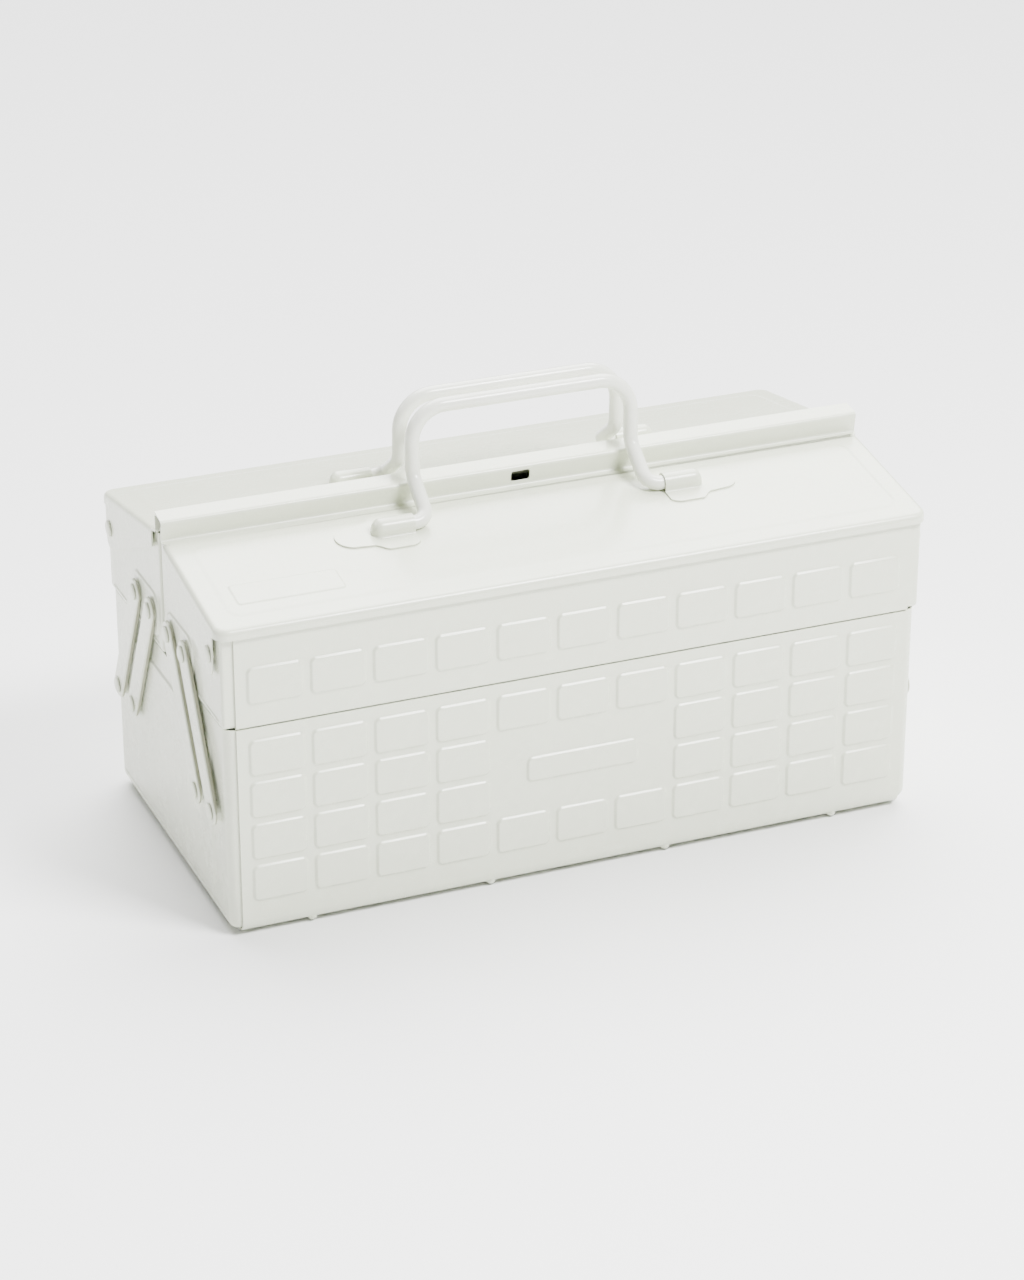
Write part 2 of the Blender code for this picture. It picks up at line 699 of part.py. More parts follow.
def lid_holes(lid, name, facing, cutters):
    for side, word in ((-1, "left"), (1, "right")):
        inner = side * (LID_END_X - TOOL_REACH)
        outer = side * (LID_END_X + TOOL_REACH)
        place = [(facing * LID_HINGE_Y, LID_HINGE_Z)]
        tool = rivet_holes(f"{name}_ear_tool_{word}", place, inner, outer, cutters)
        boolean(lid, tool, "DIFFERENCE")
    put_origin(lid, (0, facing * LID_HINGE_Y, LID_HINGE_Z))


def front_lid(parts, cutters):
    """The front lid, whose inner edge is folded into a raised hollow ridge."""
    bm = lid_sheet(-1, RIDGE_Y, RIDGE_Y + RIDGE_FOOT_RUN)
    up = Vector((0, -math.sin(LID_SLOPE), math.cos(LID_SLOPE)))
    back = Vector((0, math.cos(LID_SLOPE), math.sin(LID_SLOPE)))
    foot = inner_edge(bm, -1, RIDGE_Y)
    crown = raise_edge(bm, foot, up * RIDGE_HIGH)
    raise_edge(bm, crown, back * RIDGE_WIDE)
    folds = foot + crown
    bmesh.ops.recalc_face_normals(bm, faces=bm.faces[:])
    top = max(bm.faces, key=lambda face: face.calc_area())
    face_towards(bm, top, (0, 0, 1))
    bmesh.ops.bevel(
        bm, geom=folds, offset=RIDGE_FOLD_RADIUS, segments=FOLD_STEPS, affect="EDGES", profile=0.5
    )
    lid = add_part("front_lid", bm, parts)
    solidify(lid)
    middle = Vector((0, -RIDGE_Y, lid_z(RIDGE_Y))) + up * RIDGE_HIGH * 0.48
    boolean(lid, slot_tool("ridge_slot_tool", middle.y, middle.z, cutters), "DIFFERENCE")
    lid_holes(lid, "front", -1, cutters)


def rear_lid(parts, cutters):
    """The rear lid, whose inner edge stands up inside the ridge of the front lid."""
    bm = lid_sheet(1, UPSTAND_Y, REAR_FLANGE_INNER_Y)
    foot = inner_edge(bm, 1, UPSTAND_Y)
    raise_edge(bm, foot, Vector((0, 0, UPSTAND_HIGH)))
    top = max(bm.faces, key=lambda face: face.calc_area())
    face_towards(bm, top, (0, 0, 1))
    bmesh.ops.bevel(
        bm, geom=foot, offset=UPSTAND_FOLD_RADIUS, segments=FOLD_STEPS, affect="EDGES", profile=0.5
    )
    lid = add_part("rear_lid", bm, parts)
    solidify(lid)
    middle_z = lid_z(RIDGE_Y) + RIDGE_HIGH * 0.48
    boolean(lid, slot_tool("upstand_slot_tool", UPSTAND_Y, middle_z, cutters), "DIFFERENCE")
    lid_holes(lid, "rear", 1, cutters)


def rod_axis(y):
    """The (y, z) of a handle's foot axis, just clear of the top of its lid."""
    return Vector((0, y, lid_z(y) + (ROD_RADIUS + GAP) / math.cos(LID_SLOPE)))


def handle(name, facing, axis_y, parts):
    """A bent rod: two feet along the axis, two cranked legs that clear the ridge, and a bar."""
    axis = rod_axis(axis_y)
    inward = -facing * HANDLE_REACH
    rise = HANDLE_BAR_Z - axis.z
    half = [
        Vector((HANDLE_FOOT_X, 0, 0)),
        Vector((HANDLE_LEG_X, 0, 0)),
        Vector((HANDLE_LEG_X, inward * 0.96, HANDLE_KNEE_RISE)),
        Vector((HANDLE_LEG_X, inward, rise)),
    ]
    corners = [Vector((-point.x, point.y, point.z)) for point in half] + half[::-1]
    radii = [HANDLE_FOOT_RADIUS, HANDLE_KNEE_RADIUS, HANDLE_CORNER_RADIUS]
    path = rounded_path(corners, radii + radii[::-1], 5)
    curve = bpy.data.curves.new(name, "CURVE")
    curve.dimensions = "3D"
    curve.bevel_depth = ROD_RADIUS
    curve.bevel_resolution = 3
    curve.use_fill_caps = True
    spline = curve.splines.new("POLY")
    spline.points.add(len(path) - 1)
    for point, place in zip(spline.points, path):
        point.co = (*place, 1.0)
    rod = bpy.data.objects.new(name, curve)
    rod.location = axis
    curve.materials.append(painted(name))
    parts.objects.link(rod)


def clip_outline(side):
    """The clip's outline in the plane of the lid, as (x, distance from the rod's axis)."""
    wide_from, wide_to = CLIP_WIDE_X
    half = [
        (CLIP_START_X, 0.0),
        (CLIP_START_X, 4.6 * MM),
        (CLIP_START_X - 0.8 * MM, CLIP_WIDE_HALF - 2.6 * MM),
        (wide_from, CLIP_WIDE_HALF),
        (wide_to, CLIP_WIDE_HALF),
        (CLIP_WAIST_X, CLIP_TONGUE_HALF + 1.2 * MM),
    ]
    tongue_x = CLIP_END_X - CLIP_TONGUE_HALF
    tongue = [
        (
            tongue_x + CLIP_TONGUE_HALF * math.sin(math.radians(angle)),
            CLIP_TONGUE_HALF * math.cos(math.radians(angle)),
        )
        for angle in (0, 30, 60, 90, 120, 150, 180)
    ]
    outline = half[1:] + tongue + [(x, -y) for x, y in half[:0:-1]]
    return [(side * x, y) for x, y in outline]


def clip(name, facing, side, axis_y, parts, cutters):
    """A pressed plate with a half-round channel that holds one foot of a handle."""
    axis = rod_axis(axis_y)
    tilt = Matrix.Rotation(-facing * LID_SLOPE, 4, "X")
    place = Matrix.Translation(axis) @ tilt
    under = -ROD_RADIUS

    plate = bmesh.new()
    verts = [plate.verts.new((x, y, under)) for x, y in clip_outline(side)]
    face = plate.faces.new(verts)
    face_towards(plate, face, (0, 0, 1))
    made = bmesh.ops.extrude_face_region(plate, geom=[face])["geom"]
    lifted = [item for item in made if isinstance(item, bmesh.types.BMVert)]
    bmesh.ops.translate(plate, verts=lifted, vec=(0, 0, CLIP_SHEET))
    bmesh.ops.recalc_face_normals(plate, faces=plate.faces[:])
    body = add_part(name, plate, parts)
    body.matrix_world = place

    channel_from = side * CLIP_START_X
    channel_to = side * CLIP_CHANNEL_END_X
    hump = bmesh.new()
    add_round(hump, ROD_RADIUS + GAP + CLIP_SHEET, channel_from, channel_to, 0, 0)
    hump_tool = add_cutter(name + "_hump_tool", hump, cutters)
    bore = bmesh.new()
    bore_from = side * (CLIP_START_X - 3 * MM)
    bore_to = side * (CLIP_CHANNEL_END_X - CLIP_SHEET)
    add_round(bore, ROD_RADIUS + GAP, bore_from, bore_to, 0, 0)
    bore_tool = add_cutter(name + "_bore_tool", bore, cutters)
    below = bmesh.new()
    drop = 8 * MM
    centre = (side * (CLIP_START_X + CLIP_CHANNEL_END_X) / 2, 0, under - drop / 2)
    add_panel(below, centre, (60 * MM, 40 * MM, drop), 1 * MM, 2)
    below_tool = add_cutter(name + "_below_tool", below, cutters)
    for tool in (hump_tool, bore_tool, below_tool):
        tool.matrix_world = place
    boolean(body, hump_tool, "UNION")
    boolean(body, bore_tool, "DIFFERENCE")
    boolean(body, below_tool, "DIFFERENCE")


def handles(parts, cutters):
    for name, facing, axis_y in (("front", -1, FRONT_HANDLE_Y), ("rear", 1, REAR_HANDLE_Y)):
        handle(name + "_handle", facing, axis_y, parts)
        for side, word in ((-1, "left"), (1, "right")):
            clip(f"{name}_clip_{word}", facing, side, axis_y, parts, cutters)


def main():
    clear_scene()
    parts = new_collection(PARTS_NAME)
    cutters = new_collection("cutters", hidden=True)
    base_shell(parts, cutters)
    for side in (-1, 1):
        base_end(side, parts, cutters)
    for name, facing in (("front", -1), ("rear", 1)):
        tray(name, facing, parts, cutters)
    linkage(parts, cutters)
    front_lid(parts, cutters)
    rear_lid(parts, cutters)
    handles(parts, cutters)


main()
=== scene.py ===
"""Looks of a pressed-steel sewing box with two cantilevered trays.

Run as a script. It loads the fixed frame of solids, makes the visible pieces as fine pressed sheet
around it, paints them and sets up a pale studio.
"""

import math

import bmesh
import bpy
import numpy as np
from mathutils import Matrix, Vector
from mathutils.geometry import tessellate_polygon


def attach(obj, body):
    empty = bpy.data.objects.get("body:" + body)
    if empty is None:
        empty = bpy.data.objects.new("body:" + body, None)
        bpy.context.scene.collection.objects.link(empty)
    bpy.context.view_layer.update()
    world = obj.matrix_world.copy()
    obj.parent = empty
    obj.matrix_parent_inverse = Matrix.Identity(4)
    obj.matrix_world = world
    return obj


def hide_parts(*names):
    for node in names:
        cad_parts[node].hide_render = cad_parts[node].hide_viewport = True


bl_info = {
    "name": "Sewing box with trays",
    "version": (1, 0, 0),
    "blender": (4, 5, 0),
    "location": "View3D > Sidebar > Sewing box",
    "description": "Builds the painted sheet, the handles and the studio of a two-level sewing box",
    "category": "Object",
}

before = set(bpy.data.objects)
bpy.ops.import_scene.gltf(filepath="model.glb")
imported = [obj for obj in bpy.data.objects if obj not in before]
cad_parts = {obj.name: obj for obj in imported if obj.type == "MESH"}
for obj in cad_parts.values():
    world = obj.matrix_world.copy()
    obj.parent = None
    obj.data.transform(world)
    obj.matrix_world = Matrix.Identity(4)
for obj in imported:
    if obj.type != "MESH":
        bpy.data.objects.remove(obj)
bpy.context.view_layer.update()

MM = 0.001

# Sizes and places are in millimetres from here to the studio's.
# Points closer than MERGE are one, and BAND is the strip beside a fold that keeps a flat part flat.
MERGE = 0.002
BAND = 0.4
SIDES = {"left": -1, "right": 1}

# Base.
BASE_Y = 85.3
BASE_SEAM_X = 165.4
BASE_END_X = 170.5
BASE_FLOOR_Z = 1.6
BASE_RIM_Z = 103.6
BASE_FOLD = 6.0
RIB_XS = (-131.3, -44.1, 44.1, 131.3)
RIB_HALF = (2.5, 77.5)
RIB_NOSE = ((2.7, 4.6, 3.2), (79.6, 3.2))
PITCH = 29.4
ROW_PITCH = 20.8
WINDOW_HALF = (13.35, 9.15)
COLUMNS = 11
BASE_WINDOW_Z = 17.4
BASE_ROWS = 4
BLANK_ROWS = (1, 2)
BLANK_COLUMNS = (4, 5, 6)
LABEL_HALF = (28.0, 6.5)
TRAY_WINDOW_Z = 115.2
BASE_PANEL = ((0.0, 52.5), (64.0, 39.5), 9.0)
BASE_PANEL_RISE = 0.85
BASE_BEAD = ((0.0, 8.6), (78.0, 0.9), 0.85)

# Trays.
TRAY_FLOOR_Z = 103.95
TRAY_END_X = 171.2
TRAY_RIM_Z = 148.8
TRAY_INNER_Y = 0.4
TRAY_INNER_Z = 134.0
TRAY_FOLD = 1.2
TRAY_END_CORNER = 2.6
TRAY_SHOULDER = (76.6, 151.9)
TRAY_PEAK_Z = 163.9
PAD_MIDDLE = (25.75, 120.0)
PAD_HALF = (19.75, 11.5)
PAD_X = 171.9
PAD_CORNER = 8.0
TRAY_BEAD_MIDDLE = (43.0, 106.8)
TRAY_BEAD = ((36.0, 0.8), 0.75)
INSET = 1.0
BEAD = ((-0.1, 0.0), (0.0, 0.02), (0.3, 0.3), (0.6, 0.42), (0.74, 0.45))
FLANGE = 12.0

# Arms and rivets.
ARM_TOP_Z = 121.2
ARM_BOTTOM_Z = 58.5
INNER_TOP_Y = 14.0
INNER_BOTTOM_Y = 47.8
ARM_SPACING = 22.3
ARM_HALF = 6.3
ARM_OUTER_X = 174.2
ARM_FOLD = 0.9
LIP_DEPTH = (1.35, 0.6)
LIP_RUN = 7.0
SEAT_X = 173.0
HEAD_X = 174.5
HEAD_RADIUS = 4.0
HEAD_EDGE = 0.35
HEAD_DOME = 0.85
TAIL_RADIUS = 3.4
TAIL_HIGH = 0.9
SHANK = 2.0
SEAT = 4.9

# Lids.
LID_Y = 86.9
LID_X = 173.5
LID_EDGE_Z = 152.7
LID_LIP_Z = 148.1
SLOPE = math.radians(9.1)
LID_CORNER = 6.5
LID_FOLD = 2.6
LID_FIELD = ((0.0, 47.75), (164.0, 29.75), 7.0)
LID_FIELD_RISE = 0.28
HINGE = (74.3, 137.8)
LID_RIVET_X = 173.8
EAR_Y = 79.0
EAR_BOTTOM = (72.5, 127.9)
FLANGE_LOW = (13.4, 153.0)
FLANGE_RADII = (0.5, 5.0, 8.0, 0.8)
PLATE_MARK = ((-132.0, 61.2), (25.5, 8.2))
FLANGE_RISE = 0.42
FRONT_FLANGE_Y = 11.8
REAR_FLANGE_Y = 5.3
RIDGE_Y = 9.8
RIDGE_HIGH = 10.0
RIDGE_WIDE = 10.2
RIDGE_RADII = (1.4, 1.8)
RIDGE_START = 2.6
RIDGE_NECK = 3.0
UPSTAND_Y = -1.0
UPSTAND_HIGH = 7.6
UPSTAND_RADIUS = 1.2
UPSTAND_START = 2.2
SLOT_HALF = (4.7, 2.8)
SLOT_CORNER = 1.4

# Handles and clips.
ROD = 3.4
ROD_GAP = 0.3
HANDLE_YS = {"front": -32.8, "rear": 23.0}
HANDLE_REACH = 20.2
HANDLE_BAR_Z = 211.6
HANDLE_LEG_X = 54.3
HANDLE_FOOT_X = 79.0
HANDLE_RADII = (6.5, 9.0, 16.0)
KNEE_RISE = 14.5
KNEE_SHARE = 0.96
END_DOME = 0.9
CLIP_START = 62.0
CLIP_CHANNEL_END = 82.0
CLIP_END = 99.0
CLIP_WIDE = 13.7
CLIP_TONGUE = 8.3
CLIP_TOP = 1.1
CLIP_WALL = 0.8
CLIP_FILLET = 1.1

# Studio, in metres.
FLOOR_HALF = 12.0
KEY_SIZE, KEY_PLACE = (0.6, 0.5), (0.6, -0.95, 1.5)
END_SIZE, END_PLACE = (0.35, 0.3), (-1.3, 0.95, 0.95)
CEILING_SPREAD = math.radians(60)
CEILING_LEAN = (math.radians(-30), math.radians(14), 0.0)
CAMERA_TARGET = (0.0002, 0.0, 0.0811)
LENS, SENSOR = 102.26, 36.0

FACINGS = {"front": -1, "rear": 1}


def length_prop(name, description, default):
    """A length that the user can change, in metres."""
    return bpy.props.FloatProperty(
        name=name, description=description, default=default, min=0, unit="LENGTH"
    )


def angle_prop(name, description, degrees):
    """An angle that the user can change."""
    return bpy.props.FloatProperty(
        name=name, description=description, default=math.radians(degrees), subtype="ANGLE"
    )


def colour_prop(name, description, default):
    """A colour that the user can change."""
    return bpy.props.FloatVectorProperty(
        name=name, description=description, default=default, subtype="COLOR", size=3, min=0, max=1
    )


class BoxSizes(bpy.types.PropertyGroup):
    """Sizes of the pressed sheet that can change without moving a joint."""

    sheet: length_prop("Sheet", "Thickness of the sheet", 0.0007)
    arm_sheet: length_prop("Arm sheet", "Thickness of the arms", 0.0009)
    window_proud: length_prop("Window height", "How far the windows stand out", 0.0010)
    window_corner: length_prop("Window corner", "Corner radius of a window", 0.0031)
    window_ramp: length_prop("Window slope", "Width of a window's sloping edge", 0.0012)
    fold_steps: bpy.props.IntProperty(
        name="Fold steps", description="Facets across a fold", default=7, min=3, max=24
    )
    rod_facets: bpy.props.IntProperty(
        name="Rod facets", description="Facets round a handle", default=32, min=12, max=64
    )


class BoxColours(bpy.types.PropertyGroup):
    """Colours and finish of the paint, and the darker colours of painted shade on the arms' lips and
    inside the ridge.
    """

    paint: colour_prop("Paint", "Colour of the box", (0.735, 0.770, 0.625))
    handle: colour_prop("Handle paint", "Colour of the handles", (0.83, 0.845, 0.76))
    # The lip colour is painted shade: a darker olive on the arms' side lips, where shade falls, not a
    # thinner coat of paint.
    lip: colour_prop("Lip painted shade", "Thinner paint on the arms' lips", (0.36, 0.37, 0.26))
    # The inner colour is painted shade: a darker olive on the faces inside the ridge and on the rear
    # upstand's front face, where shade falls, not a first coat.
    inner: colour_prop("Inner painted shade", "Thin first coat inside the ridge", (0.42, 0.43, 0.31))
    grime: colour_prop("Dust", "Colour of the faint film in hollows", (0.50, 0.47, 0.36))
    gloss: bpy.props.FloatProperty(
        name="Roughness", description="Roughness of the paint", default=0.27, min=0, max=1,
        subtype="FACTOR",
    )


class StudioSettings(bpy.types.PropertyGroup):
    """Camera, floor and lights."""

    distance: length_prop("Camera distance", "From the box's middle", 1.7277)
    azimuth: angle_prop("Azimuth", "Camera's turn from the front", -22.44)
    elevation: angle_prop("Elevation", "Camera's height", 25.18)
    floor: colour_prop("Floor", "Colour of the floor", (0.92, 0.92, 0.92))
    key_power: bpy.props.FloatProperty(
        name="Key light", description="Power of the light above the front", default=80.0, min=0,
        unit="POWER",
    )
    end_power: bpy.props.FloatProperty(
        name="End light", description="Power of the light on the left end", default=7.0, min=0,
        unit="POWER",
    )
    ceiling: bpy.props.FloatProperty(
        name="Ceiling glow", description="Strength of the even light from above", default=10.5, min=0
    )
    sky_light: bpy.props.FloatProperty(
        name="Room light", description="Strength of the light from all round", default=0.1, min=0
    )
    sky_seen: bpy.props.FloatProperty(
        name="Room brightness", description="Brightness of the room behind the floor", default=1.9,
        min=0,
    )


def step_curve(t):
    """Three t squared less two t cubed, with t held between 0 and 1."""
    t = np.clip(t, 0.0, 1.0)
    return t * t * (3.0 - 2.0 * t)


def unit(vectors):
    """Each vector divided by its length."""
    return vectors / np.linalg.norm(vectors, axis=-1, keepdims=True)


def spokes_between(first, last, whole, steps):
    """Unit vectors that turn evenly from the first to the last, which stand a whole angle apart.

    Each is the first times the sine of what is left of the angle, plus the last times the sine of
    what is done, over the sine of the whole.
    """
    t = np.linspace(0.0, 1.0, steps + 1)[:, None]
    return (np.sin((1 - t) * whole) * first + np.sin(t * whole) * last) / math.sin(whole)


def round_corners(corners, radii, steps, band=BAND):
    """A polyline with its inner corners made arcs, and the outward normal at each point.

    An arc's points are its centre plus the radius times the spokes between one segment's outward
    normal and the next one's. The path runs anticlockwise round the metal, so the outward normal
    is the direction turned a quarter turn clockwise. A point one band from each end of an arc
    keeps the shading of the straight part flat.
    """
    corners = np.array(corners, float)
    ahead = unit(np.diff(corners, axis=0))
    outward = np.stack([ahead[:, 1], -ahead[:, 0]], 1)
    points = [corners[:1]]
    normals = [outward[:1]]
    for n, radius in enumerate(radii):
        first, second = outward[n], outward[n + 1]
        turn = np.sign(ahead[n, 0] * ahead[n + 1, 1] - ahead[n, 1] * ahead[n + 1, 0])
        centre = corners[n + 1] - turn * radius * (first + second) / (1.0 + first @ second)
        spokes = spokes_between(first, second, math.acos(np.clip(first @ second, -1.0, 1.0)), steps)
        arc = centre + turn * radius * spokes
        points += [arc[:1] - ahead[n] * band, arc, arc[-1:] + ahead[n + 1] * band]
        normals += [first[None], spokes, second[None]]
    points.append(corners[-1:])
    normals.append(outward[-1:])
    return np.concatenate(points), np.concatenate(normals)


def fold_profile(radius, depth=None, steps=7):
    """Rows of (inset, drop) down a fold: radius times one less sine, and one less cosine."""
    angle = np.linspace(0.0, math.pi / 2, steps + 1)
    rows = np.stack([radius * (1 - np.sin(angle)), radius * (1 - np.cos(angle))], 1)
    rows = np.concatenate([[[radius + BAND, 0.0]], rows, [[0.0, radius + BAND]]])
    return rows if depth is None else np.concatenate([rows, [[0.0, depth]]])


def ramp_profile(height, width, steps=6):
    """Rows of (inset, rise) up a pressed panel's soft edge: the mean of a line and a smooth step."""
    t = np.linspace(0.0, 1.0, steps + 1)
    rows = np.stack([t * width, height * (step_curve(t) + t) / 2], 1)
    return np.concatenate([[[-BAND, 0.0]], rows, [[width + BAND, height]]])


def square_turns(steps=5):
    """Signs of the four corners' centres and unit vectors round them, for a rounded rectangle."""
    quarter = np.repeat(np.arange(4), 2 * steps + 1) * math.pi / 2
    angle = quarter + np.tile(np.linspace(0, math.pi / 2, 2 * steps + 1), 4)
    signs = np.sign(np.stack([np.cos(quarter + math.pi / 4), np.sin(quarter + math.pi / 4)], 1))
    return signs, np.stack([np.cos(angle), np.sin(angle)], 1)


def rounded_loops(place, centre, half, corner, profile=((0.0, 0.0),)):
    """Loops of a rounded rectangle, one for each (inset, rise) row of a profile.

    Each loop is the corner's centre plus the corner radius less the inset, times a unit vector.
    """
    profile = np.array(profile)
    signs, turns = square_turns()
    core = np.array(centre) + signs * (np.array(half) - corner)
    radius = corner - profile[:, 0, None]
    u = core[None, :, 0] + turns[None, :, 0] * radius
    v = core[None, :, 1] + turns[None, :, 1] * radius
    return place(u, v, -profile[:, 1, None] + 0.0 * u)


def corners_of(half_u, low_v, high_v):
    """The u and v of a rectangle's four corners."""
    return np.array([-half_u, half_u, half_u, -half_u]), np.array([low_v, low_v, high_v, high_v])


class Pressing:
    """Gathers the surfaces of one pressed piece, in millimetres, and makes them one mesh."""

    def __init__(self):
        self.points = []
        self.faces = []
        self.count = 0

    def add(self, points, faces):
        """Adds points and their faces."""
        self.faces += [[self.count + n for n in face] for face in faces]
        self.points.append(np.asarray(points, float).reshape(-1, 3))
        self.count += len(self.points[-1])

    def grid(self, points, closed=False):
        """Adds a surface given as rows of points, closed round the rows where asked."""
        rows, columns = points.shape[:2]
        index = np.arange(rows * columns).reshape(rows, columns)
        if closed:
            index = np.concatenate([index, index[:, :1]], 1)
        quads = np.stack([index[:-1, :-1], index[:-1, 1:], index[1:, 1:], index[1:, :-1]], -1)
        self.add(points, quads.reshape(-1, 4).tolist())

    def flat(self, outline, holes=()):
        """Fills a plane region between its outline and its holes with triangles."""
        loops = [np.asarray(outline, float)] + [np.asarray(hole, float) for hole in holes]
        lines = [[Vector(point) for point in loop] for loop in loops]
        self.add(np.concatenate(loops), [list(face) for face in tessellate_polygon(lines)])

    def rim(self, place, path, normals, profile, closed=False):
        """Carries a profile of (inset, drop) rows along a path in the piece's plane."""
        inset, drop = profile[:, 0, None], profile[:, 1, None]
        u = path[None, :, 0] - normals[None, :, 0] * inset
        v = path[None, :, 1] - normals[None, :, 1] * inset
        points = place(u, v, drop + 0.0 * u)
        self.grid(points, closed)
        return points

    def panel(self, place, centre, half, corner, profile, holes=()):
        """Adds a raised panel with rounded corners and gives back its outermost loop."""
        points = rounded_loops(place, centre, half, corner, profile)
        self.grid(points, closed=True)
        self.flat(points[-1], holes)
        return points[0]

    def finish(self, name, inside, thickness=0.0, sharp=35.0):
        """Merges the surfaces, turns them outwards, gives them thickness and makes the object."""
        mesh = bpy.data.meshes.new(name)
        mesh.from_pydata(np.concatenate(self.points) * MM, [], self.faces)
        bm = bmesh.new()
        bm.from_mesh(mesh)
        bmesh.ops.remove_doubles(bm, verts=bm.verts[:], dist=MERGE * MM)
        bmesh.ops.dissolve_degenerate(bm, edges=bm.edges[:], dist=0.5 * MERGE * MM)
        bmesh.ops.recalc_face_normals(bm, faces=bm.faces[:])
        middle = Vector(inside) * MM
        flux = sum(
            face.normal.dot(face.calc_center_median() - middle) * face.calc_area() for face in bm.faces
        )
        if flux < 0:
            bmesh.ops.reverse_faces(bm, faces=bm.faces[:])
        bm.to_mesh(mesh)
        bm.free()
        obj = bpy.data.objects.new(name, mesh)
        bpy.context.scene.collection.objects.link(obj)
        if thickness:
            wall = obj.modifiers.new("Thickness", "SOLIDIFY")
            wall.thickness = thickness
            wall.offset = -1.0
            bpy.context.view_layer.update()
            solid = bpy.data.meshes.new_from_object(
                obj.evaluated_get(bpy.context.evaluated_depsgraph_get())
            )
            obj.modifiers.clear()
            obj.data = solid
            bpy.data.meshes.remove(mesh)
            solid.name = name
        obj.data.polygons.foreach_set("use_smooth", np.ones(len(obj.data.polygons), bool))
        obj.data.set_sharp_from_angle(angle=math.radians(sharp))
        return obj


def joined(name, parts):
    """Makes several finished objects one, each keeping its own faces and sharp edges."""
    bm = bmesh.new()
    for obj in parts:
        bm.from_mesh(obj.data)
        bpy.data.meshes.remove(obj.data)
    mesh = bpy.data.meshes.new(name)
    bm.to_mesh(mesh)
    bm.free()
    whole = bpy.data.objects.new(name, mesh)
    bpy.context.scene.collection.objects.link(whole)
    return whole


class Flow:
    """One socket of a node tree. Arithmetic on it adds Math nodes."""

    def __init__(self, tree, socket):
        self.tree = tree
        self.socket = socket

    def node(self, kind, settings=None, inputs=None, output=0):
        """Adds a node, sets its settings, then the values or links of its inputs."""
        made = self.tree.nodes.new(kind)
        for key, value in (settings or {}).items():
            setattr(made, key, value)
        for key, value in (inputs or {}).items():
            if isinstance(value, Flow):
                self.tree.links.new(value.socket, made.inputs[key])
            else:
                made.inputs[key].default_value = value
        return Flow(self.tree, made.outputs[output])

    def _math(self, operation, first, second):
        return self.node("ShaderNodeMath", {"operation": operation}, {0: first, 1: second})

    def __add__(self, other):
        return self._math("ADD", self, other)

    def __radd__(self, other):
        return self._math("ADD", other, self)

    def __sub__(self, other):
        return self._math("SUBTRACT", self, other)

    def __rsub__(self, other):
        return self._math("SUBTRACT", other, self)

    def __mul__(self, other):
        return self._math("MULTIPLY", self, other)

    def __rmul__(self, other):
        return self._math("MULTIPLY", other, self)

    def ramp(self, low, high):
        """0 below low and 1 above high, smooth between."""
        return self.node(
            "ShaderNodeMapRange",
            {"interpolation_type": "SMOOTHSTEP"},
            {"Value": self, "From Min": low, "From Max": high},
        )


def enamel(name, colour, film, roughness, grain):
    """Baked gloss enamel: a faint waviness, fine grain, a trace of dust and slight tone changes."""
    material = bpy.data.materials.new(name)
    material.use_nodes = True
    tree = material.node_tree
    shader = tree.nodes["Principled BSDF"]
    start = Flow(tree, None)
    place = start.node("ShaderNodeTexCoord", output="Object")

    def noise(scale, detail, **more):
        inputs = {"Vector": place, "Scale": scale, "Detail": detail, **more}
        return start.node("ShaderNodeTexNoise", {}, inputs)

    broad = noise(9.0, 3.0)
    streak = noise(55.0, 4.0, Roughness=0.6)
    waves = noise(240.0, 2.0)
    fine = noise(1900.0, 2.0)
    dust = streak.ramp(0.56, 0.78) * 0.10 + broad.ramp(0.45, 0.75) * 0.05
    tint = start.node(
        "ShaderNodeMix",
        {"data_type": "RGBA", "blend_type": "MIX"},
        {"Factor": dust, "A": (*colour, 1.0), "B": (*film, 1.0)},
        output=2,
    )
    tree.links.new(tint.socket, shader.inputs["Base Color"])
    rough = roughness + (streak - 0.5) * 0.10 + (fine - 0.5) * 0.05
    tree.links.new(rough.socket, shader.inputs["Roughness"])
    height = waves * 0.75 + fine * 0.12
    bump = start.node(
        "ShaderNodeBump", {}, {"Strength": 0.16 * grain, "Distance": 0.0004, "Height": height}
    )
    tree.links.new(bump.socket, shader.inputs["Normal"])
    shader.inputs["IOR"].default_value = 1.5
    shader.inputs["Coat Weight"].default_value = 0.25
    shader.inputs["Coat Roughness"].default_value = 0.12


# Each finish: its colour, how much rougher than the box's gloss, and its grain. The inner and lip
# finishes are painted shade: darker olive colours on faces where shade falls.
FINISHES = {
    "box_enamel": ("paint", 0.0, 1.0),
    "rivet_enamel": ("paint", 0.02, 0.8),
    "handle_enamel": ("handle", -0.05, 0.6),
    "inner_painted_shade": ("inner", 0.15, 1.0),
    "lip_painted_shade": ("lip", 0.1, 1.0),
}


def finish_of(name):
    """The named finish, made once and shared by the pieces that have it."""
    if name not in bpy.data.materials:
        look = bpy.context.scene.box_colours
        coat, rougher, grain = FINISHES[name]
        enamel(name, getattr(look, coat), look.grime, look.gloss + rougher, grain)
    return bpy.data.materials[name]


def settle(obj, body, slot, finish, *nodes):
    """Paints a piece, lets it ride on its body and hides the solids it stands for."""
    obj.data.materials.clear()
    obj.data.materials.append(finish_of(finish))
    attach(obj, body)
    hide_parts(*nodes)


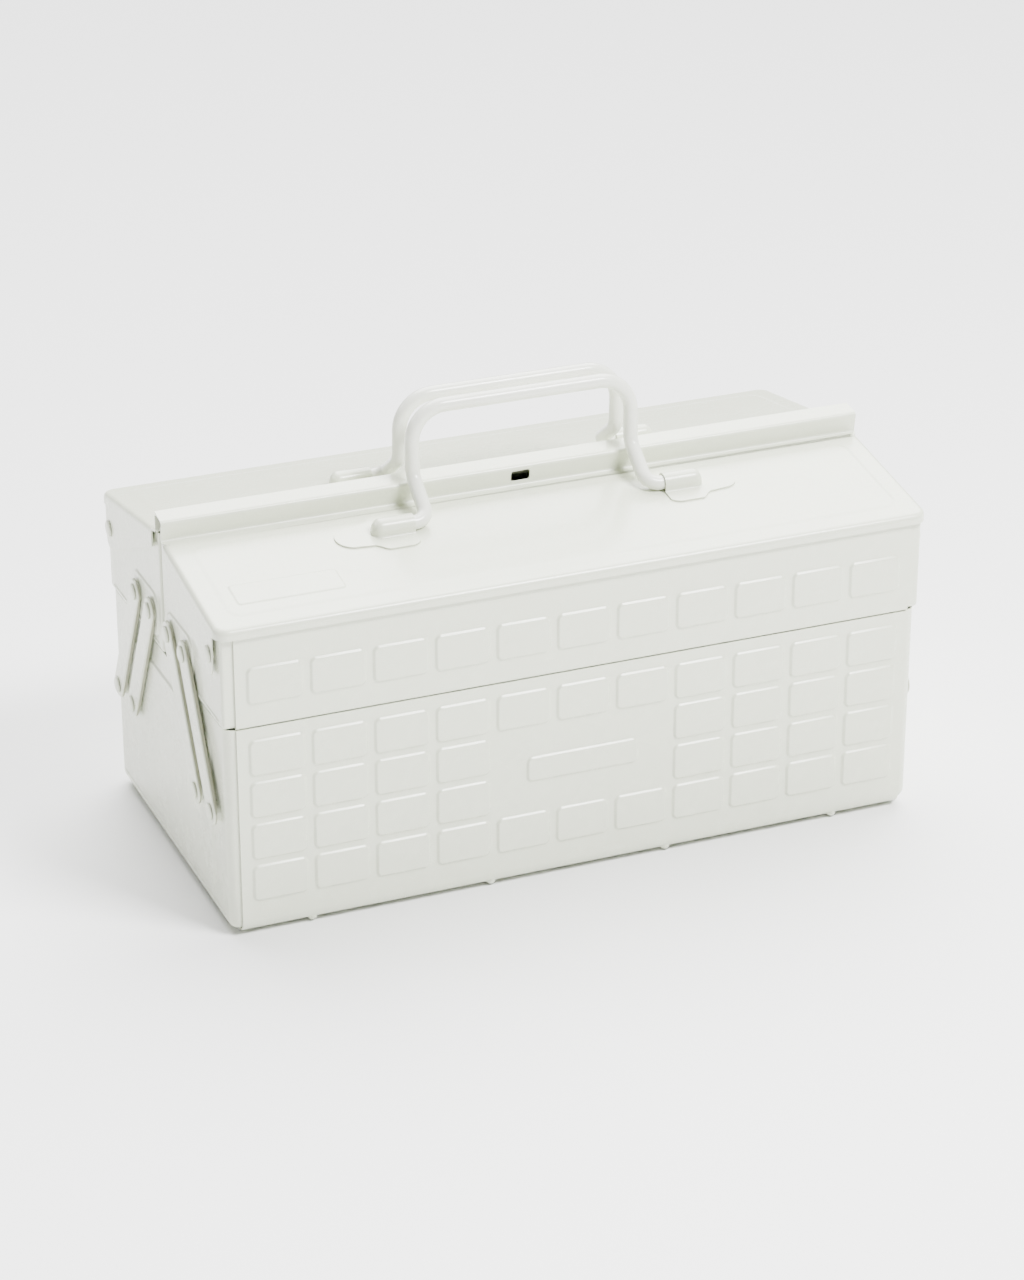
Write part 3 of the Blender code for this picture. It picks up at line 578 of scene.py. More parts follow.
def long_wall(sheet, side, rows, low_z, high_z, blank=False):
    """A long wall as one flat region with a raised panel in each hole."""
    sizes = bpy.context.scene.box_sizes
    proud, ramp, corner = (v / MM for v in (sizes.window_proud, sizes.window_ramp, sizes.window_corner))
    profile = ramp_profile(proud, ramp)

    def place(u, v, drop):
        return np.stack([u, side * (BASE_Y - drop), v], -1)

    holes = []
    for row, base_z in enumerate(rows):
        for column in range(COLUMNS):
            if blank and row in BLANK_ROWS and column in BLANK_COLUMNS:
                continue
            centre = ((column - (COLUMNS - 1) / 2) * PITCH, base_z + WINDOW_HALF[1])
            holes.append(sheet.panel(place, centre, WINDOW_HALF, corner, profile))
    if blank:
        middle = (0.0, rows[BLANK_ROWS[0]] + ROW_PITCH / 2 + WINDOW_HALF[1])
        holes.append(sheet.panel(place, middle, LABEL_HALF, corner, profile))
    sheet.flat(place(*corners_of(BASE_SEAM_X, low_z, high_z), np.zeros(4)), holes)


def ruled(sheet, path, half_x):
    """Carries a path in the YZ plane along X, from minus half_x to half_x."""
    ends = [np.stack([np.full(len(path), x), path[:, 0], path[:, 1]], 1) for x in (-half_x, half_x)]
    sheet.grid(np.stack(ends, 1))


class BOX_OT_base_shell(bpy.types.Operator):
    """Front wall, floor and rear wall, with windows, a blank label and four ribs."""

    bl_idname = "box.base_shell"
    bl_label = "Base shell"

    def execute(self, context):
        sizes = context.scene.box_sizes
        sheet = Pressing()
        rows = [BASE_WINDOW_Z + row * ROW_PITCH for row in range(BASE_ROWS)]
        top_of_fold = BASE_FLOOR_Z + BASE_FOLD + BAND
        side_of_fold = BASE_Y - BASE_FOLD - BAND
        for side in SIDES.values():
            long_wall(sheet, side, rows, top_of_fold, BASE_RIM_Z, blank=True)
        corners = [(-BASE_Y, top_of_fold), (-BASE_Y, BASE_FLOOR_Z), (-side_of_fold, BASE_FLOOR_Z)]
        path, _ = round_corners(corners, [BASE_FOLD], sizes.fold_steps)
        path = path[1:-1]
        ruled(sheet, path, BASE_SEAM_X)
        ruled(sheet, path * (-1, 1), BASE_SEAM_X)

        def place(u, v, drop):
            return np.stack([u, v, BASE_FLOOR_Z + drop], -1)

        profile = ramp_profile(BASE_FLOOR_Z, 1.6)
        holes = [sheet.panel(place, (x, 0.0), RIB_HALF, 2.4, profile) for x in RIB_XS]
        sheet.flat(place(*corners_of(BASE_SEAM_X, -side_of_fold, side_of_fold), np.zeros(4)), holes)
        obj = sheet.finish("pressed_base_shell", (0, 0, 60), sizes.sheet)
        settle(obj, "base", "paint", "box_enamel", "base_shell")
        noses = [self.nose(x, side) for x in RIB_XS for side in SIDES.values()]
        settle(joined("pressed_rib_noses", noses), "base", "paint", "box_enamel")
        return {"FINISHED"}

    def nose(self, x, side):
        """A rounded end of a rib: its centre plus three half sizes times a unit vector."""
        (long_x, long_y, long_z), (y, z) = RIB_NOSE
        sheet = Pressing()
        up = np.linspace(-math.pi / 2, math.pi / 2, 13)[:, None]
        turn = np.linspace(0, 2 * math.pi, 24, endpoint=False)[None]
        px = x + long_x * np.cos(up) * np.cos(turn)
        py = side * (y + long_y * np.cos(up) * np.sin(turn))
        pz = z + long_z * np.sin(up) + 0 * turn
        sheet.grid(np.stack([px, py, pz], -1), closed=True)
        return sheet.finish(f"nose_{x}_{side}", (x, side * y, z))


def end_plate(x, side):
    """Places a point of an end plate: (y, z, how far inside the plate's outer face)."""

    def place(u, v, drop):
        return np.stack([side * (x - drop), u, v], -1)

    return place


def pivots(name, top):
    """The two (y, z) pivots of one side's arms on the tray or, at the bottom, on the base."""
    inner = INNER_TOP_Y if top else INNER_BOTTOM_Y
    height = ARM_TOP_Z if top else ARM_BOTTOM_Z
    return [(FACINGS[name] * (inner + offset), height) for offset in (0.0, ARM_SPACING)]


class BOX_OT_base_ends(bpy.types.Operator):
    """End plates with inward flanges, a raised panel and round seats for the arms."""

    bl_idname = "box.base_ends"
    bl_label = "Base ends"

    def execute(self, context):
        sizes = context.scene.box_sizes
        half, low, fold = BASE_Y - INSET, BASE_FLOOR_Z + INSET, BASE_FOLD - INSET
        corners = [(-half, BASE_RIM_Z), (-half, low), (half, low), (half, BASE_RIM_Z)]
        path, normals = round_corners(corners, [fold + 2 * BAND] * 2, sizes.fold_steps)
        for word, side in SIDES.items():
            sheet = Pressing()
            place = end_plate(BASE_END_X, side)
            edge = sheet.rim(place, path, normals, fold_profile(fold, FLANGE, sizes.fold_steps))
            on_panel = raised_by(place, BASE_PANEL_RISE)
            low_seat = ramp_profile(SEAT_X - BASE_END_X, 0.8)
            high_seat = ramp_profile(SEAT_X - BASE_END_X - BASE_PANEL_RISE, 0.8)
            places = pivots("front", False), pivots("rear", False)
            round_seat = ((SEAT, SEAT), SEAT)
            inner = [sheet.panel(on_panel, pair[0], *round_seat, high_seat) for pair in places]
            outer = [sheet.panel(place, pair[1], *round_seat, low_seat) for pair in places]
            panel = sheet.panel(place, *BASE_PANEL, ramp_profile(BASE_PANEL_RISE, 1.6), inner)
            bead = sheet.panel(place, *BASE_BEAD, BEAD)
            sheet.flat(edge[0], [panel, bead, *outer])
            obj = sheet.finish("pressed_base_end_" + word, (0, 0, 60), sizes.sheet)
            settle(obj, "base", "paint", "box_enamel", "base_end_" + word)
        return {"FINISHED"}


class BOX_OT_tray_shells(bpy.types.Operator):
    """Outer wall with windows, floor and low inner wall of each tray."""

    bl_idname = "box.tray_shells"
    bl_label = "Tray shells"

    def execute(self, context):
        sizes = context.scene.box_sizes
        top_of_fold = TRAY_FLOOR_Z + TRAY_FOLD + BAND
        corners = [
            (-BASE_Y, top_of_fold),
            (-BASE_Y, TRAY_FLOOR_Z),
            (-TRAY_INNER_Y, TRAY_FLOOR_Z),
            (-TRAY_INNER_Y, TRAY_INNER_Z),
        ]
        path, _ = round_corners(corners, [TRAY_FOLD] * 2, sizes.fold_steps)
        for name, facing in FACINGS.items():
            sheet = Pressing()
            long_wall(sheet, facing, [TRAY_WINDOW_Z], top_of_fold, TRAY_RIM_Z)
            ruled(sheet, path[1:] * (-facing, 1), BASE_SEAM_X)
            obj = sheet.finish(f"pressed_{name}_tray", (0, facing * 40, 125), sizes.sheet)
            settle(obj, name + "_tray", "paint", "box_enamel", name + "_tray_shell")
        return {"FINISHED"}


class BOX_OT_tray_ends(bpy.types.Operator):
    """Gabled end plates with the raised pad and round seats behind the arms' upper rivets."""

    bl_idname = "box.tray_ends"
    bl_label = "Tray ends"

    def execute(self, context):
        sizes = context.scene.box_sizes
        outer, inner = BASE_Y - INSET, TRAY_INNER_Y + INSET
        low, fold = TRAY_FLOOR_Z + 0.15, 1.4
        corners = [(-outer, TRAY_RIM_Z), (-outer, low), (-inner, low), (-inner, TRAY_PEAK_Z)]
        path, normals = round_corners(corners, [TRAY_END_CORNER] * 2, sizes.fold_steps)
        flip = np.array([-1.0, 1.0])
        for name, facing in FACINGS.items():
            turn = flip if facing > 0 else np.ones(2)
            for word, side in SIDES.items():
                sheet = Pressing()
                place = end_plate(TRAY_END_X, side)
                profile = fold_profile(fold, FLANGE, sizes.fold_steps)
                edge = sheet.rim(place, path * turn, normals * turn, profile)
                raised = PAD_X - TRAY_END_X
                on_pad = raised_by(place, raised)
                seat = ramp_profile(SEAT_X - PAD_X, 0.6)
                seats = [sheet.panel(on_pad, p, (SEAT, SEAT), SEAT, seat) for p in pivots(name, True)]
                slope = ramp_profile(raised, 1.3)
                pad_middle, bead_middle = ((facing * y, z) for y, z in (PAD_MIDDLE, TRAY_BEAD_MIDDLE))
                pad = sheet.panel(place, pad_middle, PAD_HALF, PAD_CORNER, slope, seats)
                low_bead = sheet.panel(place, bead_middle, *TRAY_BEAD, BEAD)
                shoulder = np.array([[facing * TRAY_SHOULDER[0], TRAY_SHOULDER[1]]])
                gable = place(shoulder[:, 0], shoulder[:, 1], np.zeros(1))
                sheet.flat(np.concatenate([edge[0], gable]), [pad, low_bead])
                obj = sheet.finish(f"pressed_{name}_tray_end_{word}", (0, facing * 40, 130), sizes.sheet)
                settle(obj, name + "_tray", "paint", "box_enamel", f"{name}_tray_end_{word}")
        return {"FINISHED"}


class BOX_OT_partitions(bpy.types.Operator):
    """The dividers of the trays, which keep their plain solids."""

    bl_idname = "box.partitions"
    bl_label = "Tray partitions"

    def execute(self, context):
        for name in FACINGS:
            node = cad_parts[name + "_tray_partition"]
            node.data.materials.clear()
            node.data.materials.append(finish_of("box_enamel"))
        return {"FINISHED"}


class BOX_OT_arms(bpy.types.Operator):
    """The eight links, each a pressed strip with round ends and side lips."""

    bl_idname = "box.arms"
    bl_label = "Arms"

    def execute(self, context):
        sizes = context.scene.box_sizes
        run, rise = INNER_BOTTOM_Y - INNER_TOP_Y, ARM_TOP_Z - ARM_BOTTOM_Z
        length = math.hypot(run, rise)
        angle = np.linspace(0, math.pi, 25)
        turns = np.stack([np.cos(angle), np.sin(angle)], 1)
        left = np.stack([np.full(4, -ARM_HALF), np.array([0.9, 0.8, 0.2, 0.1]) * length], 1)
        right = left[::-1] * (-1, 1)
        path = np.concatenate([turns * ARM_HALF + (0, length), left, -turns * ARM_HALF, right])
        out = np.tile([1.0, 0.0], (4, 1))
        normals = np.concatenate([turns, -out, -turns, out])
        for name, facing in FACINGS.items():
            along = np.array([-facing * run, rise]) / length
            across = np.array([along[1], -along[0]])
            for place_word, offset in (("inner", 0.0), ("outer", ARM_SPACING)):
                foot = np.array([facing * (INNER_BOTTOM_Y + offset), ARM_BOTTOM_Z])
                halves = []
                for side in SIDES.values():

                    def place(u, v, drop):
                        y = foot[0] + across[0] * u + along[0] * v
                        z = foot[1] + across[1] * u + along[1] * v
                        return np.stack([side * (ARM_OUTER_X - drop), y, z], -1)

                    sheet = Pressing()
                    rows = fold_profile(ARM_FOLD, None, 5)
                    edge = sheet.rim(place, path, normals, rows, closed=True)
                    middle = np.minimum(path[:, 1], length - path[:, 1])
                    deep = LIP_DEPTH[0] + LIP_DEPTH[1] * step_curve(middle / LIP_RUN)
                    tops = place(path[:, 0], path[:, 1], np.full(len(path), rows[-1, 1]))
                    sheet.grid(np.stack([tops, place(path[:, 0], path[:, 1], deep)]), closed=True)
                    sheet.flat(edge[0])
                    inside = (0.0, foot[0] + along[0] * length / 2, foot[1] + along[1] * length / 2)
                    halves.append(sheet.finish(f"arm_{side}", inside, sizes.arm_sheet))
                body = f"{name}_{place_word}_arms"
                obj = joined("pressed_" + body, halves)
                nodes = [f"{name}_{place_word}_arm_{word}" for word in SIDES]
                settle(obj, body, "paint", "box_enamel", *nodes)
                # Painted shade: the arms' side-lip faces, which stand nearly square to the end plate,
                # get the darker olive lip colour in place of the shade that falls on them.
                repaint(obj, np.abs(face_vectors(obj, "normal")[:, 0]) < 0.25, "lip_painted_shade")
        return {"FINISHED"}


def face_vectors(obj, what):
    """The centres or the normals of a piece's faces, in metres."""
    values = np.empty(len(obj.data.polygons) * 3, np.float32)
    obj.data.polygons.foreach_get(what, values)
    return values.reshape(-1, 3)


def repaint(obj, chosen, finish):
    """Gives the chosen faces of a piece a second finish, which here is always a darker colour of painted
    shade.
    """
    obj.data.materials.append(finish_of(finish))
    obj.data.polygons.foreach_set("material_index", chosen.astype(np.int32))


def rivet(side, head_x, tail_x, y, z, around=28):
    """A domed rivet turned about a line along X: radius times cosine and sine of each angle."""
    angle = np.linspace(0.0, math.pi / 2, 7)
    dome = np.stack([HEAD_RADIUS * np.sin(angle), HEAD_EDGE + HEAD_DOME * np.cos(angle)], 1)
    back = tail_x - head_x
    rest = [(HEAD_RADIUS, 0.12), (HEAD_RADIUS - 0.15, 0.0), (SHANK, 0.0), (SHANK, back)]
    tail = [(TAIL_RADIUS, back), (TAIL_RADIUS, back - 0.5), (TAIL_RADIUS - 0.5, back - TAIL_HIGH)]
    profile = np.array([*dome, *rest, *tail, (0.0, back - TAIL_HIGH)])
    turn = np.linspace(0, 2 * math.pi, around, endpoint=False)
    radius, out = profile[:, 0, None], profile[:, 1, None]
    x = side * (head_x + out) + 0.0 * turn
    sheet = Pressing()
    sheet.grid(np.stack([x, y + radius * np.cos(turn), z + radius * np.sin(turn)], -1), closed=True)
    return sheet.finish(f"rivet_{side}_{y}", (side * (head_x - 1.5), y, z))


class BOX_OT_rivets(bpy.types.Operator):
    """Domed rivets at the feet of the arms, on the trays and on the lids' ears."""

    bl_idname = "box.rivets"
    bl_label = "Rivets"

    def execute(self, context):
        feet, foot_nodes = [], []
        for name, facing in FACINGS.items():
            tops, top_nodes = [], []
            for word, side in SIDES.items():
                for place, low, high in zip(("inner", "outer"), pivots(name, False), pivots(name, True)):
                    feet.append(rivet(side, HEAD_X, BASE_END_X - INSET, *low))
                    foot_nodes.append(f"{name}_{place}_foot_rivet_{word}")
                    tops.append(rivet(side, HEAD_X, TRAY_END_X - INSET, *high))
                    top_nodes.append(f"{name}_{place}_tray_rivet_{word}")
                tops.append(rivet(side, LID_RIVET_X, TRAY_END_X - INSET, facing * HINGE[0], HINGE[1]))
                top_nodes.append(f"{name}_lid_rivet_{word}")
            obj = joined(f"domed_{name}_tray_rivets", tops)
            settle(obj, name + "_tray", "rivet", "rivet_enamel", *top_nodes)
        obj = joined("domed_foot_rivets", feet)
        settle(obj, "base", "rivet", "rivet_enamel", *foot_nodes)
        return {"FINISHED"}


def lid_rise(y):
    """Height of a lid's top above its outer edge, from its distance to the middle."""
    return (LID_Y - y) * math.tan(SLOPE)


def lid_place(facing):
    """Places a point of a lid: (x, distance from the middle, drop below the sloping top)."""

    def place(u, v, drop):
        return np.stack([u, facing * v, LID_EDGE_Z - drop + lid_rise(v)], -1)

    return place


def lid_body(facing, flange_y, steps):
    """The sloping top with its folded edge, its lip and its two end flanges.

    The folded edge is a fold profile carried round three sides, with a rounded corner in plan.
    """
    sheet = Pressing()
    place = lid_place(facing)
    corners = [(LID_X, flange_y), (LID_X, LID_Y), (-LID_X, LID_Y), (-LID_X, flange_y)]
    path, normals = round_corners(corners, [LID_CORNER] * 2, steps)
    profile = fold_profile(LID_FOLD, None, steps)
    edge = sheet.rim(place, path, normals, profile)
    round_lip = path[2:-2]
    low = LID_EDGE_Z - LID_LIP_Z + lid_rise(round_lip[:, 1])
    top = np.full(len(low), profile[-1, 1])
    sheet.grid(np.stack([place(round_lip[:, 0], round_lip[:, 1], drop) for drop in (top, low)]))
    ear_y, ear_z = EAR_BOTTOM
    low_y, low_z = FLANGE_LOW
    corner_y = LID_Y - LID_CORNER
    outline, _ = round_corners(
        [
            (corner_y, LID_LIP_Z),
            (EAR_Y, LID_LIP_Z),
            (EAR_Y, ear_z - (EAR_Y - ear_y) * FLANGE_RISE),
            (low_y, low_z),
            (flange_y, low_z + (low_y - flange_y) * FLANGE_RISE),
            (flange_y, LID_EDGE_Z + lid_rise(flange_y) - profile[-1, 1]),
        ],
        FLANGE_RADII,
        steps,
        0.05,
    )
    above = np.array([corner_y - BAND, corner_y])
    crown = np.stack([above, LID_EDGE_Z + lid_rise(above) - profile[-1, 1]], 1)
    region = np.concatenate([outline, crown])
    for side in SIDES.values():
        x = np.full(len(region), side * LID_X)
        sheet.flat(np.stack([x, facing * region[:, 0], region[:, 1]], 1))
    return sheet, place, edge[0]


def ridge_direction():
    """Unit (distance from the middle, z) vectors up and back of a ridge square to the front lid."""
    return np.array([math.sin(SLOPE), math.cos(SLOPE)]), np.array([-math.cos(SLOPE), math.sin(SLOPE)])


def widening(sheet, path, facing, narrow, wide):
    """Carries a path of (distance, z) points along X, narrow on its first row and wide after it."""
    half = np.full(len(path), wide)
    half[0] = narrow
    rows = [np.stack([sign * half, facing * path[:, 0], path[:, 1]], 1) for sign in SIDES.values()]
    sheet.grid(np.stack(rows, 1))


class BOX_OT_lids(bpy.types.Operator):
    """Both lids: the front one with its hollow ridge, the rear one with its upstand."""

    bl_idname = "box.lids"
    bl_label = "Lids"

    def execute(self, context):
        sizes = context.scene.box_sizes
        self.front(sizes)
        self.rear(sizes)
        return {"FINISHED"}

    def front(self, sizes):
        steps = sizes.fold_steps
        start_y = FRONT_FLANGE_Y + RIDGE_START
        sheet, place, edge = lid_body(-1, FRONT_FLANGE_Y, steps)
        up, back = ridge_direction()
        foot = np.array([RIDGE_Y, LID_EDGE_Z + lid_rise(RIDGE_Y)])
        crown = foot + up * RIDGE_HIGH
        start = np.array([start_y, LID_EDGE_Z + lid_rise(start_y)])
        path, _ = round_corners([start, foot, crown, crown + back * RIDGE_WIDE], RIDGE_RADII, steps)
        split = steps + 4
        widening(sheet, path[:split], -1, LID_X - RIDGE_NECK, LID_X)
        widening(sheet, path[split:], -1, LID_X, LID_X)
        slotted_web(sheet, path[split - 1], path[split], -1)
        plate_mark = ramp_profile(0.45, 1.1)
        mark = [sheet.panel(raised_by(place, LID_FIELD_RISE), *PLATE_MARK, 2.0, plate_mark)]
        sheet.flat(edge_with(edge, start_y, place), [lid_panel(sheet, place, mark)])
        obj = sheet.finish("pressed_front_lid", (0, -45, 130), sizes.sheet)
        settle(obj, "front_lid", "paint", "box_enamel", "front_lid")
        # Painted shade: the faces inside the front lid's hollow ridge that face down or back get the
        # darker olive inner colour in place of the shade inside the ridge.
        faces = face_vectors(obj, "center")
        turned = face_vectors(obj, "normal")
        within = (faces[:, 1] > -(RIDGE_Y + 1.4) * MM) & (faces[:, 2] > (LID_EDGE_Z + 11.5) * MM)
        inner = (turned[:, 2] < -0.3) | (turned[:, 1] > 0.5)
        repaint(obj, within & inner, "inner_painted_shade")

    def rear(self, sizes):
        steps = sizes.fold_steps
        start_y = UPSTAND_Y + UPSTAND_START
        sheet, place, edge = lid_body(1, REAR_FLANGE_Y, steps)
        foot = np.array([UPSTAND_Y, LID_EDGE_Z + lid_rise(UPSTAND_Y)])
        start = np.array([start_y, LID_EDGE_Z + lid_rise(start_y)])
        top = foot + (0.0, UPSTAND_HIGH)
        path, _ = round_corners([start, foot, top], [UPSTAND_RADIUS], steps)
        widening(sheet, path[: steps + 4], 1, LID_X, LID_X)
        slotted_web(sheet, path[steps + 3], top, 1)
        sheet.flat(edge_with(edge, start_y, place, wide=True), [lid_panel(sheet, place)])
        obj = sheet.finish("pressed_rear_lid", (0, 45, 130), sizes.sheet)
        settle(obj, "rear_lid", "paint", "box_enamel", "rear_lid")
        # Painted shade: the rear upstand's front face, which looks into the ridge, gets the darker olive
        # inner colour in place of the shade there.
        hidden = face_vectors(obj, "normal")[:, 1] < -0.8
        near = np.abs(face_vectors(obj, "center")[:, 1] / MM - UPSTAND_Y) < 0.1
        repaint(obj, hidden & near, "inner_painted_shade")


def raised_by(place, rise):
    """The same placing, on a surface that stands a little higher."""
    return lambda u, v, drop: place(u, v, drop - rise)


def lid_panel(sheet, place, holes=()):
    """The very shallow raised field of a lid's top, whose soft edge runs inside the fold."""
    return sheet.panel(place, *LID_FIELD, ramp_profile(LID_FIELD_RISE, 2.4), holes)


def slotted_web(sheet, low, high, facing):
    """A flat wall along X between two (distance, z) points, with the padlock's slot in it."""
    middle_z = LID_EDGE_Z + lid_rise(RIDGE_Y) + RIDGE_HIGH * 0.48
    share = (middle_z - low[1]) / (high[1] - low[1])
    length = np.linalg.norm(high - low)

    def place(u, v, _):
        along = v[..., None] / length
        y, z = np.moveaxis(low + (high - low) * along, -1, 0)
        return np.stack([u, facing * y, z], -1)

    slot = rounded_loops(place, (0.0, share * length), SLOT_HALF, SLOT_CORNER)[0]
    sheet.flat(place(*corners_of(LID_X, 0.0, length), None), [slot])


def edge_with(edge, inner_y, place, wide=False):
    """The outline of a lid's flat top: its folded edge, closed across the middle of the box."""
    last, first = edge[-1], edge[0]
    middle = np.array([-LID_X, LID_X]) if wide else np.array([last[0], first[0]])
    inner = place(middle, np.full(2, inner_y), np.zeros(2))
    if not wide:
        return np.concatenate([edge, inner])
    flange = place(middle, np.full(2, abs(first[1])), np.zeros(2))
    return np.concatenate([edge, flange[:1], inner, flange[1:]])


def smooth_line(points, radii, steps):
    """A line in space with its inner corners made arcs that turn evenly between two spokes."""
    points = np.array(points, float)
    line = [points[:1]]
    for before, corner, after, radius in zip(points, points[1:], points[2:], radii):
        back, ahead = unit(before - corner), unit(after - corner)
        half = math.acos(np.clip(back @ ahead, -1, 1)) / 2
        centre = corner + unit(back + ahead) * radius / math.sin(half)
        first = unit(corner + back * radius / math.tan(half) - centre)
        last = unit(corner + ahead * radius / math.tan(half) - centre)
        line.append(centre + radius * spokes_between(first, last, math.pi - 2 * half, steps))
    line.append(points[-1:])
    return np.concatenate(line)


def tube(sheet, line, radius, around):
    """A round rod with domed ends: each ring is the line's point plus radius times a turned frame.

    The frame is carried along the line by taking away its share of the new direction.
    """
    ahead = unit(np.gradient(line, axis=0))
    side = np.cross(ahead[0], (0.0, 0.3, 1.0))
    frames = []
    for direction in ahead:
        side = unit(side - (side @ direction) * direction)
        frames.append(side)
    across = np.array(frames)
    other = np.cross(ahead, across)
    last = len(line) - 1
    dome = np.append(math.pi / 2, np.linspace(0, math.pi / 2, 6)[:-1])
    back = END_DOME * (np.cos(dome) - 1.0)[:, None]
    shrink = np.append(0.0, 1.0 - END_DOME * (1 - np.sin(dome[1:])) / radius)
    back[0] = 0.0
    centres = np.concatenate(
        [line[0] - ahead[0] * back, line[1:last], (line[last] + ahead[last] * back)[::-1]]
    )
    scale = np.concatenate([shrink, np.ones(last - 1), shrink[::-1]])
    pick = np.concatenate([np.zeros(len(dome), int), np.arange(1, last), np.full(len(dome), last)])
    turn = np.linspace(0, 2 * math.pi, around, endpoint=False)[:, None]
    ring = across[pick][:, None] * np.cos(turn) + other[pick][:, None] * np.sin(turn)
    sheet.grid(centres[:, None] + ring * (radius * scale)[:, None, None], closed=True)


def rod_axis(y):
    """The (y, z) of a handle's foot axis above its lid."""
    return y, LID_EDGE_Z + lid_rise(abs(y)) + (ROD + ROD_GAP) / math.cos(SLOPE)


class BOX_OT_handles(bpy.types.Operator):
    """Two rods bent to a U, with cranked legs and feet along the hinge line."""

    bl_idname = "box.handles"
    bl_label = "Handles"

    def execute(self, context):
        sizes = context.scene.box_sizes
        for name, facing in FACINGS.items():
            y, z = rod_axis(HANDLE_YS[name])
            inward = -facing * HANDLE_REACH
            half = [
                (HANDLE_FOOT_X, y, z),
                (HANDLE_LEG_X, y, z),
                (HANDLE_LEG_X, y + inward * KNEE_SHARE, z + KNEE_RISE),
                (HANDLE_LEG_X, y + inward, HANDLE_BAR_Z),
            ]
            corners = [(-px, py, pz) for px, py, pz in half] + half[::-1]
            line = smooth_line(corners, HANDLE_RADII + HANDLE_RADII[::-1], 10)
            sheet = Pressing()
            tube(sheet, line, ROD, sizes.rod_facets)
            obj = sheet.finish("bent_" + name + "_handle", (0, y, 0))
            settle(obj, name + "_handle", "handle", "handle_enamel", name + "_handle")
        return {"FINISHED"}


def clip_widths(s):
    """Half width of a clip's plate along its length: chamfer, wide part, waist and round tongue."""
    chamfer = CLIP_WIDE - 2.6 * (1 - step_curve((s - CLIP_START) / 3.2))
    waist = CLIP_WIDE + (CLIP_TONGUE + 0.7 - CLIP_WIDE) * step_curve((s - 77.0) / 6.5)
    centre = CLIP_END - CLIP_TONGUE
    tongue = CLIP_TONGUE * np.sqrt(np.clip(1 - ((s - centre) / CLIP_TONGUE) ** 2, 0, 1))
    body = np.minimum(chamfer, waist) - 0.7 * step_curve((s - 83.0) / (centre - 83.0))
    return np.where(s > centre, tongue, body)


class BOX_OT_clips(bpy.types.Operator):
    """Four pressed clips, each with a half-round channel that ends in a dome."""

    bl_idname = "box.clips"
    bl_label = "Clips"

    def execute(self, context):
        sizes = context.scene.box_sizes
        for name, facing in FACINGS.items():
            y, z = rod_axis(HANDLE_YS[name])
            for word, side in SIDES.items():
                sheet = Pressing()
                sheet.grid(self.surface(facing, side, y, z))
                obj = sheet.finish(f"pressed_{name}_clip_{word}", (side * 75, y, z - 40), sizes.sheet)
                settle(obj, name + "_lid", "paint", "box_enamel", f"{name}_clip_{word}")
        return {"FINISHED"}

    def surface(self, facing, side, y, z):
        """A channel section carried along X.

        The section is a half circle on short walls with a fillet at each foot, scaled by the
        square root of one less the square of the way into the dome. The plate fills the rest of
        the width.
        """
        radius = ROD + ROD_GAP + CLIP_WALL
        wall = ROD + ROD_GAP - CLIP_TOP
        dome_from = CLIP_CHANNEL_END - radius
        ahead = np.linspace(CLIP_START, dome_from, 9)[:-1]
        into = dome_from + radius * np.sin(np.linspace(0, math.pi / 2, 12))
        centre = CLIP_END - CLIP_TONGUE
        after = np.linspace(CLIP_CHANNEL_END, centre, 8)[1:]
        tip = centre + CLIP_TONGUE * np.sin(np.linspace(0, math.pi / 2, 12))[1:]
        s = np.concatenate([ahead, into, after, tip])
        k = np.sqrt(np.clip(1 - (np.clip(s - dome_from, 0, radius) / radius) ** 2, 0, 1))
        turn = np.linspace(0, math.pi / 2, 5)
        foot = np.stack([radius + CLIP_FILLET * (1 - np.sin(turn)), CLIP_FILLET * (1 - np.cos(turn))], 1)
        arch = np.linspace(0, math.pi, 17)
        half = np.stack([radius * np.cos(arch), wall + radius * np.sin(arch)], 1)
        hump = np.concatenate([foot, half, foot[::-1] * (-1, 1)])
        width = clip_widths(s)
        edge = k * (radius + CLIP_FILLET)
        share = np.array([1.0, 0.96, 0.05])
        plate = edge[:, None] + (np.maximum(width, edge) - edge)[:, None] * share
        t = np.concatenate([plate, k[:, None] * hump[:, 0], -plate[:, ::-1]], 1)
        w = np.concatenate([0 * plate, k[:, None] * hump[:, 1], 0 * plate], 1)
        drop = -(ROD + ROD_GAP) + CLIP_TOP
        up = np.array([facing * math.sin(SLOPE), math.cos(SLOPE)])
        out = np.array([facing * math.cos(SLOPE), -math.sin(SLOPE)])
        py = y + out[0] * t + up[0] * (w + drop)
        pz = z + out[1] * t + up[1] * (w + drop)
        return np.stack([side * s[:, None] + 0 * t, py, pz], -1)


def area_light(name, power, size, place, target):
    """A rectangular soft light that looks from its place at a target."""
    data = bpy.data.lights.new(name, "AREA")
    data.shape = "RECTANGLE"
    data.size, data.size_y = size
    data.energy = power
    light = bpy.data.objects.new(name, data)
    light.location = place
    light.rotation_euler = (Vector(target) - Vector(place)).to_track_quat("-Z", "Y").to_euler()
    bpy.context.scene.collection.objects.link(light)


